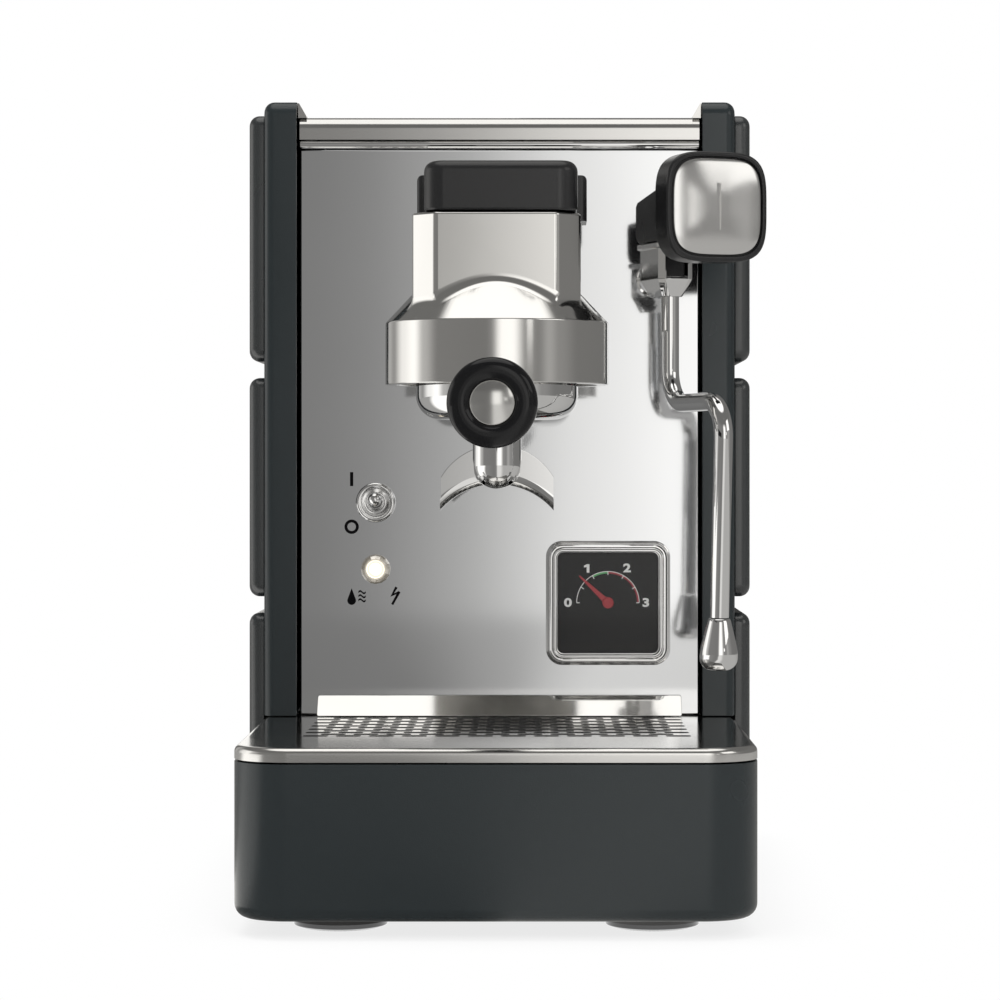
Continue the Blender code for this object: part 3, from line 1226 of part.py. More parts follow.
def tap_lever():
    """Black lever of the steam tap, with a soft square knob and a tail in the tap's fork."""
    hinge = TAP_TURN @ Vector((0, ARM_HINGE_BEHIND, ARM_HINGE_LEVEL))
    y, z = ARM_HINGE_BEHIND, ARM_HINGE_LEVEL
    back = KNOB_REACH - KNOB_THICK
    rear = y + TAP_KNUCKLE
    outline = [(-back - KNOB_BACK_ROUND, ARM_BOTTOM + ARM_KNOB_RISE),
               (-TAIL_FRONT - ARM_CORNER, ARM_BOTTOM)]
    outline += arc((y, z), TAP_KNUCKLE, -90, 0, 4)
    outline += [(rear, ARM_BOTTOM + ARM_BACK_TOP), (rear - ARM_CORNER, ARM_BOTTOM + ARM_BACK_TOP
                                                    + ARM_CORNER), (-ARM_CREST, ARM_BOTTOM + ARM_TOP),
                (-back - KNOB_BACK_ROUND, ARM_BOTTOM + ARM_KNOB_TOP)]
    arm = prism(outline, "X", -ARM_HALF_WIDTH, ARM_HALF_WIDTH)
    lever = piece("tap_lever", arm, BLACK, pivot=hinge, place=TAP_TURN)
    tail = box((-TAIL_HALF_WIDTH, -TAIL_FRONT, TAIL_BOTTOM),
               (TAIL_HALF_WIDTH, TAIL_BEHIND, ARM_BOTTOM + ARM_CORNER))
    fuse(lever, tail, place=TAP_TURN)
    lip = KNOB_REACH - KNOB_FACE_DOME
    knob = loft([knob_ring(back, KNOB_BACK_ROUND), knob_ring(back + KNOB_BACK_ROUND / 3,
                                                             KNOB_BACK_ROUND / 3),
                 knob_ring(back + KNOB_BACK_ROUND, 0), knob_ring(lip - KNOB_FRONT_ROUND, 0),
                 knob_ring(lip, KNOB_FRONT_ROUND), knob_ring(lip + GAP / 3, KNOB_RIM),
                 knob_ring(lip - KNOB_RECESS, KNOB_RIM)])
    fuse(lever, knob, place=TAP_TURN)
    ear_room = TAP_EAR_RADIUS + TAP_EAR_ROOM
    clear = math.hypot(TAP_EAR_RADIUS, TAP_KNUCKLE) + TAP_EAR_ROOM
    half = TAP_EAR_HALF + PIN_ROOM
    cut(lever, box((-half, y - clear, ARM_BOTTOM - OVERRUN), (half, rear + OVERRUN, z + ear_room)),
        place=TAP_TURN)
    reach = TAP_PIN_HALF + PIN_ROOM
    cut(lever, rod(TAP_PIN_RADIUS + PIN_ROOM, -reach, reach, 12, (0, y, z), (1, 0, 0)),
        place=TAP_TURN)


def knob_face():
    """Domed steel plate in the front of the knob."""
    hinge = TAP_TURN @ Vector((0, ARM_HINGE_BEHIND, ARM_HINGE_LEVEL))
    inset = KNOB_RIM + GAP
    base = KNOB_REACH - KNOB_FACE_DOME - KNOB_RECESS + GAP
    edge = KNOB_REACH - KNOB_FACE_DOME
    shares = ((0.0, 0.0), (0.14, 0.45), (0.42, 0.82), (0.75, 1.0))
    rings = [knob_ring(base, inset)]
    for inward_share, rise_share in shares:
        inward = inset + (KNOB_WIDTH / 2 - inset) * inward_share
        rings.append(knob_ring(edge + KNOB_FACE_DOME * rise_share, inward))
    piece("knob_face", loft(rings), SATIN, pivot=hinge, place=TAP_TURN)


def wand_corners():
    """The corners of the wand's route, from the tap down to its tip."""
    corners = [(0, 0, TAP_BOTTOM + WAND_SOCKET_DEPTH), (0, 0, WAND_RUN_LEVEL),
               (0, -WAND_RUN, WAND_RUN_LEVEL), (0, -WAND_RUN + WAND_LEAN, WAND_END)]
    return [TAP_TURN @ Vector(corner) for corner in corners]


def steam_wand():
    """Bent steam pipe that swivels in the bottom of the tap."""
    pipe("steam_wand", wand_corners(), WAND_RADIUS, WAND_BEND, CHROME, pivot=(TAP_X, TAP_Y, 0),
         steps=5)


def wand_tip():
    """Conical tip on the end of the wand."""
    corners = wand_corners()
    along = (corners[-1] - corners[-2]).normalized()
    nose = arc((TIP_RADIUS - TIP_ROUND, TIP_LENGTH - TIP_ROUND), TIP_ROUND, 0, 90, 3)
    profile = [(0, GAP), (WAND_RADIUS, GAP), (WAND_RADIUS + TIP_ROUND / 6, TIP_ROUND / 6),
               (TIP_RADIUS, TIP_WIDEST)] + nose + [(0, TIP_LENGTH)]
    piece("wand_tip", turned(profile, 14, corners[-1], along), CHROME, pivot=(TAP_X, TAP_Y, 0))


def switch_bezel():
    """Dished chrome bezel of the toggle switch, with its threaded body through the panel."""
    mouth = SWITCH_HEIGHT - SWITCH_DISH_DEPTH
    profile = [(0, -THREAD_LENGTH), (THREAD_RADIUS, -THREAD_LENGTH), (THREAD_RADIUS, GAP),
               (SWITCH_RADIUS, GAP), (SWITCH_RADIUS, SWITCH_HEIGHT - SWITCH_EDGE),
               (SWITCH_RADIUS - SWITCH_EDGE, SWITCH_HEIGHT), (SWITCH_DISH_RADIUS, SWITCH_HEIGHT),
               (BAT_BALL_RADIUS + GAP, mouth), (BAT_BALL_RADIUS + GAP, -SWITCH_SOCKET_DEPTH),
               (0, -SWITCH_SOCKET_DEPTH)]
    bm = turned(profile, 18, (CONTROL_X, PANEL_FACE, SWITCH_LEVEL), (0, -1, 0))
    piece("switch_bezel", bm, CHROME)


def switch_bat():
    """Chrome bat of the toggle switch, tipped up to its on position."""
    pivot = Vector((CONTROL_X, PANEL_FACE, SWITCH_LEVEL))
    ball = arc((0, 0), BAT_BALL_RADIUS, -90, 50, 5)
    end = arc((0, BAT_LENGTH - BAT_TIP_RADIUS), BAT_TIP_RADIUS, 10, 90, 4)
    profile = [(0, -BAT_BALL_RADIUS)] + ball[1:] + [(BAT_NECK_RADIUS, BAT_BALL_RADIUS * 1.2)]
    profile += end[:-1] + [(0, BAT_LENGTH)]
    tilt = math.radians(BAT_TILT)
    bm = turned(profile, 12, pivot, (0, -math.cos(tilt), math.sin(tilt)))
    piece("switch_bat", bm, CHROME, pivot=pivot)


def lamp_lens():
    """Clear pilot lamp with a faceted rim, in a hole of the panel."""
    crown = arc((0, 0), LAMP_RADIUS - LAMP_RIM, 60, 90, 3)
    lift = LAMP_HEIGHT - (LAMP_RADIUS - LAMP_RIM)
    profile = [(0, -THREAD_LENGTH), (THREAD_RADIUS, -THREAD_LENGTH), (THREAD_RADIUS, GAP),
               (LAMP_RADIUS, GAP), (LAMP_RADIUS, LAMP_RIM), (LAMP_RADIUS - LAMP_RIM, 2 * LAMP_RIM)]
    profile += [(radius, height + lift) for radius, height in crown[:-1]] + [(0, LAMP_HEIGHT)]
    piece("lamp_lens", turned(profile, 16, (CONTROL_X, PANEL_FACE, LAMP_LEVEL), (0, -1, 0)), LIT)


def gauge_frame():
    """Square chrome frame of the gauge, with its round can through the panel."""
    face = PANEL_FACE - GAP
    front = face - GAUGE_HEIGHT
    centre = (GAUGE_X, GAUGE_LEVEL)
    bm = prism(rectangle(GAUGE_SIZE, GAUGE_SIZE, GAUGE_CORNER, centre, 3), "Y", front, face)
    bevel(bm, at_level(front, 1), GAUGE_EDGE, 2)
    frame = piece("gauge_frame", bm, CHROME)
    fuse(frame, rod(GAUGE_CAN_RADIUS, face - GAUGE_BACK / 2, face + GAUGE_CAN_LENGTH, 24,
                    (GAUGE_X, 0, GAUGE_LEVEL), (0, 1, 0)))
    window = rectangle(GAUGE_WINDOW, GAUGE_WINDOW, GAUGE_WINDOW_CORNER, centre, 3)
    cut(frame, prism(window, "Y", front - OVERRUN, face - GAUGE_BACK))


def gauge_window_plate(name, front, thickness, look):
    """A thin plate that fills the window of the gauge frame."""
    size = GAUGE_WINDOW - 2 * GAP
    outline = rectangle(size, size, GAUGE_WINDOW_CORNER - GAP, (GAUGE_X, GAUGE_LEVEL), 3)
    piece(name, prism(outline, "Y", front, front + thickness), look)


def dial_face():
    """The y of the dial's front."""
    return PANEL_FACE - GAP - GAUGE_BACK - GAP - DIAL_THICK


def gauge_dial():
    """Black dial plate."""
    gauge_window_plate("gauge_dial", dial_face(), DIAL_THICK, GLOSS_BLACK)


def gauge_glass():
    """Clear pane in front of the dial."""
    front = PANEL_FACE - GAP - GAUGE_HEIGHT + GLASS_INSET
    gauge_window_plate("gauge_glass", front, GLASS_THICK, CLEAR)


def gauge_needle():
    """Red needle on its hub, at its reading in the photo."""
    pivot = Vector((GAUGE_X, dial_face() - GAP, GAUGE_LEVEL))
    hub = rod(NEEDLE_HUB_RADIUS, 0, NEEDLE_HUB_HEIGHT, 12, pivot, (0, -1, 0))
    needle = piece("gauge_needle", hub, RED, pivot=pivot)
    outline = [(-NEEDLE_TAIL, -NEEDLE_HALF_WIDTH), (NEEDLE_LENGTH, -NEEDLE_TIP_HALF_WIDTH),
               (NEEDLE_LENGTH, NEEDLE_TIP_HALF_WIDTH), (-NEEDLE_TAIL, NEEDLE_HALF_WIDTH)]
    low = -NEEDLE_HUB_HEIGHT / 2
    hand = prism(outline, "Y", low - NEEDLE_THICK / 2, low + NEEDLE_THICK / 2)
    turn = Matrix.Translation(pivot) @ Matrix.Rotation(math.radians(-NEEDLE_ANGLE), 4, "Y")
    fuse(needle, hand, place=turn)


def boiler():
    """Upright boiler behind the group."""
    low, high = BOILER_BOTTOM, BOILER_TOP
    flange = BOILER_RADIUS + BOILER_FLANGE
    profile = [(0, low), (flange, low), (flange, low + BOILER_FLANGE_THICK),
               (BOILER_RADIUS, low + BOILER_FLANGE_THICK), (BOILER_RADIUS, high - BOILER_SHOULDER),
               (BOILER_RADIUS - BOILER_SHOULDER, high), (0, high)]
    piece("boiler", turned(profile, 20, (0, BOILER_Y, 0)), BRASS)


def heating_element():
    """Flange of the heating element under the boiler, with its two terminals."""
    top = BOILER_BOTTOM - GAP
    bottom = top - ELEMENT_THICK
    element = piece("heating_element", rod(ELEMENT_RADIUS, bottom, top, 14, (0, BOILER_Y, 0)), SATIN)
    for side in (-1, 1):
        fuse(element, rod(ELEMENT_PIN_RADIUS, bottom - ELEMENT_PIN_LENGTH, bottom + ELEMENT_THICK / 2,
                          8, (side * ELEMENT_PIN_SPREAD, BOILER_Y, 0)))


def pressure_switch():
    """Pressure switch on its stalk, on top of the boiler."""
    low = BOILER_TOP + GAP
    shelf = low + PRESSURE_STALK
    top = shelf + PRESSURE_HEIGHT
    profile = [(0, low), (PRESSURE_STALK_RADIUS, low), (PRESSURE_STALK_RADIUS, shelf),
               (PRESSURE_RADIUS, shelf), (PRESSURE_RADIUS, top), (0, top)]
    piece("pressure_switch", turned(profile, 12, (PRESSURE_X, BOILER_Y, 0)), BLACK)


def solenoid_valve():
    """Three-way valve: a brass block on the mounting plate, with its coil on top."""
    front = PLATE_BACK + GAP
    back = front + SOLENOID_LENGTH
    half = SOLENOID_WIDTH / 2
    top = SOLENOID_LEVEL + SOLENOID_HEIGHT
    valve = piece("solenoid_valve", box((SOLENOID_X - half, front, SOLENOID_LEVEL),
                                        (SOLENOID_X + half, back, top)), BRASS)
    fuse(valve, rod(COIL_RADIUS, top - OVERRUN, top + COIL_HEIGHT, 12,
                    (SOLENOID_X, (front + back) / 2, 0)))


def pump():
    """Vibration pump, lying front to back in the base on its rubber saddle."""
    profile = [(0, 0)]
    station = 0
    for radius, length in ((PUMP_NIPPLE_RADIUS, PUMP_NIPPLE), (PUMP_HEAD_RADIUS, PUMP_HEAD),
                           (PUMP_COIL_RADIUS, PUMP_COIL), (PUMP_BARREL_RADIUS, PUMP_BARREL),
                           (PUMP_INLET_RADIUS, PUMP_INLET)):
        profile += [(radius, station), (radius, station + length)]
        station += length
    profile.append((0, station))
    front = behind(PUMP_FRONT_DEPTH)
    body = piece("pump", turned(profile, 12, (PUMP_X, front, PUMP_LEVEL), (0, 1, 0)), BLACK)
    middle = front + PUMP_NIPPLE + PUMP_HEAD + PUMP_COIL / 2
    fuse(body, box((PUMP_X - SADDLE_HALF_WIDTH, middle - SADDLE_LENGTH / 2, BASE_FLOOR + GAP),
                   (PUMP_X + SADDLE_HALF_WIDTH, middle + SADDLE_LENGTH / 2, PUMP_LEVEL)))


def control_box():
    """Closed plastic box of the electronics, on the floor of the base."""
    low = BASE_FLOOR + GAP
    front = behind(BOX_FRONT_DEPTH)
    bm = box((BOX_X - BOX_WIDTH / 2, front, low),
             (BOX_X + BOX_WIDTH / 2, front + BOX_LENGTH, low + BOX_HEIGHT))
    bevel(bm, at_level(low + BOX_HEIGHT), BOX_ROUND, 2)
    piece("control_box", bm, BLACK)


def hose_and_pipes():
    """Suction hose from the tank, feed pipe to the boiler and steam pipe to the tap."""
    spigot = TANK_BOTTOM - SPIGOT_LENGTH - GAP
    hose_y = behind(HOSE_DEPTH)
    pump_back = behind(PUMP_FRONT_DEPTH) + PUMP_NIPPLE + PUMP_HEAD + PUMP_COIL + PUMP_BARREL
    pump_back += PUMP_INLET
    pipe("suction_hose", [(PUMP_X, hose_y, spigot), (PUMP_X, hose_y, PUMP_LEVEL),
                          (PUMP_X, pump_back + GAP, PUMP_LEVEL)], HOSE_RADIUS, HOSE_BEND, SILICONE)
    feed_y = behind(FEED_DEPTH)
    boiler_side = BOILER_RADIUS + GAP
    pipe("feed_pipe", [(PUMP_X, behind(PUMP_FRONT_DEPTH) - GAP, PUMP_LEVEL),
                       (PUMP_X, feed_y, PUMP_LEVEL), (FEED_X, feed_y, PUMP_LEVEL),
                       (FEED_X, feed_y, FEED_LEVEL), (FEED_X, BOILER_Y, FEED_LEVEL),
                       (-boiler_side, BOILER_Y, FEED_LEVEL)],
         PIPE_RADIUS, PIPE_BEND, COPPER)
    shank_x = TAP_X - TAP_SHANK_SHIFT
    pipe("steam_pipe", [(boiler_side, BOILER_Y, TAP_SHANK_LEVEL),
                        (shank_x, BOILER_Y, TAP_SHANK_LEVEL),
                        (shank_x, PLATE_BACK + TAP_THREAD_END + GAP, TAP_SHANK_LEVEL)],
         STEAM_PIPE_RADIUS, PIPE_BEND, COPPER)


remove_everything()
base_housing()
feet()
drip_tray()
tray_cover()
cover_lip()
chassis_deck()
side_frames()
side_pads()
front_panel()
mounting_plate()
top_rail()
top_cover()
tank_lid()
water_tank()
tank_shelf()
rear_panel()
mains_inlet()
group_head()
group_gasket()
shower_screen()
group_neck()
lever_bracket()
lever_pin()
brew_lever()
portafilter_body()
portafilter_handle()
filter_basket()
portafilter_spout()
steam_tap()
tap_lever_pin()
tap_lever()
knob_face()
steam_wand()
wand_tip()
switch_bezel()
switch_bat()
lamp_lens()
gauge_frame()
gauge_dial()
gauge_glass()
gauge_needle()
boiler()
heating_element()
pressure_switch()
solenoid_valve()
pump()
control_box()
hose_and_pipes()
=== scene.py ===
# Lever espresso machine: the looks of its pieces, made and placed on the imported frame, in metres.
# +Z is up, +Y goes to the back, and +X goes to the right of someone who stands in front of it.
from math import asin, atan2, copysign, cos, degrees, hypot, radians, sin, tan, tau

import bmesh
import bpy
from mathutils import Matrix, Vector


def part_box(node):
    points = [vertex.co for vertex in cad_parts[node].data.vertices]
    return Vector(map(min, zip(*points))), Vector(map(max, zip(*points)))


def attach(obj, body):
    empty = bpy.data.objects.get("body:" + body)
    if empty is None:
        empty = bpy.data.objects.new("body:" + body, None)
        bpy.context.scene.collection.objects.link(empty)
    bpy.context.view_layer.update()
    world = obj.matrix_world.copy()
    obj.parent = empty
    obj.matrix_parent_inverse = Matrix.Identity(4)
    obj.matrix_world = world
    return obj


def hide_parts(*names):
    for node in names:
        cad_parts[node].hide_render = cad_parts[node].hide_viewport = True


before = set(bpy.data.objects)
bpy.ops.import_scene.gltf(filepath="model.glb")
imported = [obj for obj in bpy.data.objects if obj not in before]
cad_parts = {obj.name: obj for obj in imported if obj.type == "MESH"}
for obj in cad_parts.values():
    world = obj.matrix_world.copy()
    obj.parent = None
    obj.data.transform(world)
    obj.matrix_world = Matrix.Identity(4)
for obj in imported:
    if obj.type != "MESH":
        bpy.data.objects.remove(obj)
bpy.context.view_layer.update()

scene = bpy.context.scene


# STUDIO
# The set is a pale floor in an evenly lit white room. A grey wall stands round it for the metal to
# mirror, with soft boxes at the left, beside the camera and at the right, and one overhead.
WALL_DISTANCE, WALL_HEIGHT = 2.8, 2.9
BOX_STRENGTH = 1.3
ROOM_LIGHT = 0.72
WARM_WHITE = (1, 0.985, 0.955, 1)
WALL_STOPS = ((-180, 1.0), (-168, 0.8), (-162, 0.05), (-144, 0.36), (-130, 0.25), (-110, 0.80),
              (-92, 0.98), (-78, 0.40), (-60, 0.17), (-10, 0.16), (-6, 0.19), (-4, 0.23),
              (-2, 0.35), (0, 0.56), (2, 0.78), (5, 0.96), (16, 0.97), (30, 0.22), (42, 0.19),
              (54, 0.32), (66, 0.22), (92, 0.15), (150, 0.14), (180, 0.05))
FLOOR_STOPS = ((-180, 0.25), (-112, 0.3), (-98, 1.0), (-64, 1.0), (-50, 0.2), (-12, 0.16),
               (-4, 0.18), (-1, 0.30), (3, 0.62), (14, 0.62), (30, 0.36), (90, 0.36), (180, 0.25))


def wire(tree, kind, inputs=None, **settings):
    """Add a shader node, set it up, and feed its inputs with values or other nodes' outputs."""
    made = tree.nodes.new("ShaderNode" + kind)
    for key, value in settings.items():
        setattr(made, key, value)
    for key, value in (inputs or {}).items():
        if isinstance(value, bpy.types.NodeSocket):
            tree.links.new(value, made.inputs[key])
        else:
            made.inputs[key].default_value = value
    return made


def maths(tree, operation, *values):
    """What a maths node makes of its values."""
    return wire(tree, "Math", dict(enumerate(values)), operation=operation).outputs[0]


def vectors(tree, operation, *values):
    """What a vector maths node makes of its values."""
    made = wire(tree, "VectorMath", dict(enumerate(values)), operation=operation)
    return made.outputs["Value" if operation == "LENGTH" else "Vector"]


def ramped(tree, value, **levels):
    """Lead a value softly from one level to another, between From_Min and From_Max."""
    inputs = {key.replace("_", " "): level for key, level in levels.items()}
    return wire(tree, "MapRange", {"Value": value, **inputs},
                interpolation_type="SMOOTHSTEP").outputs[0]


def place_on(tree):
    """The place on the object that is being shaded."""
    return wire(tree, "TexCoord").outputs["Object"]


def seen_directly(tree):
    """1 for what the camera, a mirror or a glass shows, and 0 for what lights the object."""
    rays = wire(tree, "LightPath").outputs
    pair = maths(tree, "MAXIMUM", rays["Is Camera Ray"], rays["Is Glossy Ray"])
    return maths(tree, "MAXIMUM", pair, rays["Is Transmission Ray"])


def levels_round(tree, stops):
    """Grey levels that change with the direction from the middle of the set, and the height."""
    parts = wire(tree, "SeparateXYZ", {0: place_on(tree)}).outputs
    turn = maths(tree, "ARCTAN2", parts["X"], maths(tree, "MULTIPLY", parts["Y"], -1))
    tones = wire(tree, "ValToRGB", {"Fac": maths(tree, "MULTIPLY_ADD", turn, 1 / tau, 0.5)})
    ramp = tones.color_ramp
    ramp.interpolation = "EASE"
    for number, (bearing, value) in enumerate(stops):
        ends = {0: ramp.elements[0], len(stops) - 1: ramp.elements[-1]}
        stop = ends.get(number) or ramp.elements.new(bearing / 360 + 0.5)
        stop.color = (*(value * part for part in WARM_WHITE[:3]), 1)
    return tones.outputs[0], parts["Z"]


def empty_material(name):
    """A new material with no nodes yet, and its tree."""
    material = bpy.data.materials.new(name)
    material.use_nodes = True
    material.node_tree.nodes.clear()
    return material, material.node_tree


def glowing(tree, colour, strength=BOX_STRENGTH):
    """Make a material glow."""
    glow = wire(tree, "Emission", {"Color": colour, "Strength": strength})
    wire(tree, "OutputMaterial", {"Surface": glow.outputs[0]})


def disc(radius, level, segments=96):
    """A round card that lies flat at a level."""
    bm = bmesh.new()
    bmesh.ops.create_circle(bm, cap_ends=True, segments=segments, radius=radius,
                            matrix=Matrix.Translation((0, 0, level)))
    return bm


def stage_piece(name, bm, material, mirrored_only=True):
    """A piece of the set. A card is only mirrored: it doesn't stand in the camera's way."""
    mesh = bpy.data.meshes.new(name)
    bm.to_mesh(mesh)
    bm.free()
    mesh.materials.append(material)
    thing = bpy.data.objects.new(name, mesh)
    scene.collection.objects.link(thing)
    for way in ("camera", "diffuse", "shadow", "transmission"):
        setattr(thing, "visible_" + way, not mirrored_only)


def lamp(name, place, target, size, power):
    """A soft lamp aimed at a point. The cards stand for it in the metal."""
    data = bpy.data.lights.new(name, "AREA")
    data.shape = "DISK"
    data.size = size
    data.energy = power
    thing = bpy.data.objects.new(name, data)
    thing.location = place
    thing.rotation_euler = (Vector(target) - Vector(place)).to_track_quat("-Z", "Y").to_euler()
    thing.visible_glossy = False
    thing.visible_camera = False
    scene.collection.objects.link(thing)


camera_data = bpy.data.cameras.new("studio_camera")
camera_data.sensor_width = 36
camera_data.lens = 115.2
camera_data.shift_x = -0.031
camera_data.shift_y = -0.028
camera = bpy.data.objects.new("studio_camera", camera_data)
camera.location = (0.0155, -1.533, 0.204)
camera.rotation_euler = (radians(90), 0, 0)
scene.collection.objects.link(camera)
scene.camera = camera
scene.view_settings.view_transform = "Standard"

room = bpy.data.worlds.new("white_room")
room.use_nodes = True
scene.world = room
tree = room.node_tree
tree.nodes.clear()
level = maths(tree, "MULTIPLY_ADD", seen_directly(tree), 1 - ROOM_LIGHT, ROOM_LIGHT)
light = wire(tree, "Background", {"Color": (1, 1, 1, 1), "Strength": level})
wire(tree, "OutputWorld", {"Surface": light.outputs[0]})

SHADE_CENTRE, SHADE_HALF, SHADE_FADE = (0, 0.063, 0), (0.10, 0.18, 0), 0.07
floor_paint, tree = empty_material("pale_floor")
off_centre = vectors(tree, "ABSOLUTE", vectors(tree, "SUBTRACT", place_on(tree), SHADE_CENTRE))
beyond = vectors(tree, "MAXIMUM", vectors(tree, "SUBTRACT", off_centre, SHADE_HALF), (0, 0, 0))
fade = ramped(tree, vectors(tree, "LENGTH", beyond), From_Min=0, From_Max=SHADE_FADE, To_Min=0.80)
share = maths(tree, "MULTIPLY", fade, seen_directly(tree))
matt = wire(tree, "BsdfDiffuse", {"Color": (0.93, 0.93, 0.93, 1)})
glow = wire(tree, "Emission", {"Color": (1, 1, 1, 1), "Strength": 1})
both = wire(tree, "MixShader", {0: share, 1: matt.outputs[0], 2: glow.outputs[0]})
wire(tree, "OutputMaterial", {"Surface": both.outputs[0]})
stage_piece("floor", disc(7, 0), floor_paint, mirrored_only=False)

wall_cloth, tree = empty_material("grey_wall")
boxes, height = levels_round(tree, WALL_STOPS)
top = wire(tree, "MapRange", {"Value": height, "From Min": 1.35, "From Max": 1.85})
tone = wire(tree, "Mix", {0: top.outputs[0], 6: boxes, 7: (0.13, 0.128, 0.124, 1)},
            data_type="RGBA")
glowing(tree, tone.outputs[2])
bm = bmesh.new()
bmesh.ops.create_cone(bm, cap_ends=False, segments=96, radius1=WALL_DISTANCE,
                      radius2=WALL_DISTANCE, depth=WALL_HEIGHT,
                      matrix=Matrix.Translation((0, 0, WALL_HEIGHT / 2)))
stage_piece("grey_wall", bm, wall_cloth)

ceiling, tree = empty_material("ceiling")
reach = vectors(tree, "LENGTH", vectors(tree, "MULTIPLY", place_on(tree), (1, 1, 0)))
glowing(tree, WARM_WHITE, ramped(tree, reach, From_Min=1.25, From_Max=1.65, To_Min=BOX_STRENGTH,
                                 To_Max=0.17))
stage_piece("overhead_box", disc(WALL_DISTANCE, WALL_HEIGHT, 64), ceiling)

right_glow, tree = empty_material("right_glow")
glowing(tree, WARM_WHITE)
bm = bmesh.new()
for bearing, level, half_width, half_height in ((58, 1.32, 0.62, 0.58), (33, 0.50, 0.12, 0.14)):
    place = Matrix.Rotation(radians(bearing), 4, "Z") @ Matrix.Translation((0, -2.3, level))
    upright = Matrix.Rotation(radians(90), 4, "X")
    sized = Matrix.Diagonal((half_width, half_height, 1, 1))
    bmesh.ops.create_grid(bm, x_segments=1, y_segments=1, size=1, matrix=place @ upright @ sized)
stage_piece("right_boxes", bm, right_glow)

floor_cloth, tree = empty_material("floor_cloth")
glowing(tree, levels_round(tree, FLOOR_STOPS)[0])
stage_piece("floor_card", disc(2.78, 0.003), floor_cloth)
lamp("front_lamp", (0.55, -2.2, 1.3), (0, 0, 0.15), 0.9, 14)
lamp("overhead_lamp", (-0.4, -0.5, 2.3), (0, 0, 0.2), 1.5, 22)


# BASE HOUSING
# A tub of pressed steel sheet with round corners, powder coated in a dark blue-grey with a fine
# sparkling grain. Its bottom edge is pressed round, and its top edge carries the drip tray's cover.
X, Y, Z = 0, 1, 2


def block(low, high):
    """A plain block between two corners, for other steps to shape."""
    bm = bmesh.new()
    low, high = Vector(low), Vector(high)
    place = Matrix.Translation((low + high) / 2) @ Matrix.Diagonal((*(high - low), 1))
    bmesh.ops.create_cube(bm, size=1, matrix=place)
    return bm


def runs(axis):
    """A test for edges that run along an axis."""
    def test(edge):
        along = edge.verts[1].co - edge.verts[0].co
        return abs(along[axis]) > 0.999 * along.length
    return test


def lies(axis, level):
    """A test for edges and faces that lie in the plane at a level along an axis."""
    return lambda item: all(abs(vert.co[axis] - level) < 0.00002 for vert in item.verts)


def turns(angle):
    """A test for edges where the surface turns more than an angle, in radians."""
    return lambda edge: edge.calc_face_angle(0) > angle


def round_edges(bm, width, segments, *tests):
    """Round the edges that pass every test."""
    edges = [edge for edge in bm.edges if all(test(edge) for test in tests)]
    bmesh.ops.bevel(bm, geom=edges, offset=width, offset_type="OFFSET", segments=segments,
                    profile=0.5, affect="EDGES", material=-1)


def rounded_block(low, high, axis, width, segments):
    """A block with its four edges along an axis rounded."""
    bm = block(low, high)
    round_edges(bm, width, segments, runs(axis))
    return bm


def soften(bm, width, segments=2):
    """Take the sharpness off every edge that turns more than 38 degrees."""
    round_edges(bm, width, segments, turns(radians(38)))


def open_faces(bm, axis, level):
    """Take away the faces in a plane, to leave a skin that is open there."""
    bmesh.ops.delete(bm, geom=list(filter(lies(axis, level), bm.faces)), context="FACES")


def worked(bm, kind, tool=None, **settings):
    """Put a shape through one modifier, with another as its tool, and give back the result."""
    things = []
    for shape in filter(None, (bm, tool)):
        mesh = bpy.data.meshes.new("at_work")
        shape.to_mesh(mesh)
        shape.free()
        things.append(bpy.data.objects.new("at_work", mesh))
        scene.collection.objects.link(things[-1])
    step = things[0].modifiers.new("step", kind)
    for key, value in settings.items():
        setattr(step, key, value)
    if tool:
        step.object = things[1]
    result = bmesh.new()
    result.from_object(things[0], bpy.context.evaluated_depsgraph_get())
    for thing in things:
        mesh = thing.data
        bpy.data.objects.remove(thing)
        bpy.data.meshes.remove(mesh)
    return result


def walled(bm, thickness):
    """Give an open skin its wall, inwards from the modelled side."""
    return worked(bm, "SOLIDIFY", thickness=thickness, offset=-1, use_even_offset=True)


def cut(bm, *tools, operation="DIFFERENCE"):
    """Cut shapes out of another, one after the other."""
    for tool in tools:
        bm = worked(bm, "BOOLEAN", tool, operation=operation, solver="EXACT")
    return bm


def joined(bm, *tools):
    """Join shapes that overlap into one."""
    return cut(bm, *tools, operation="UNION")


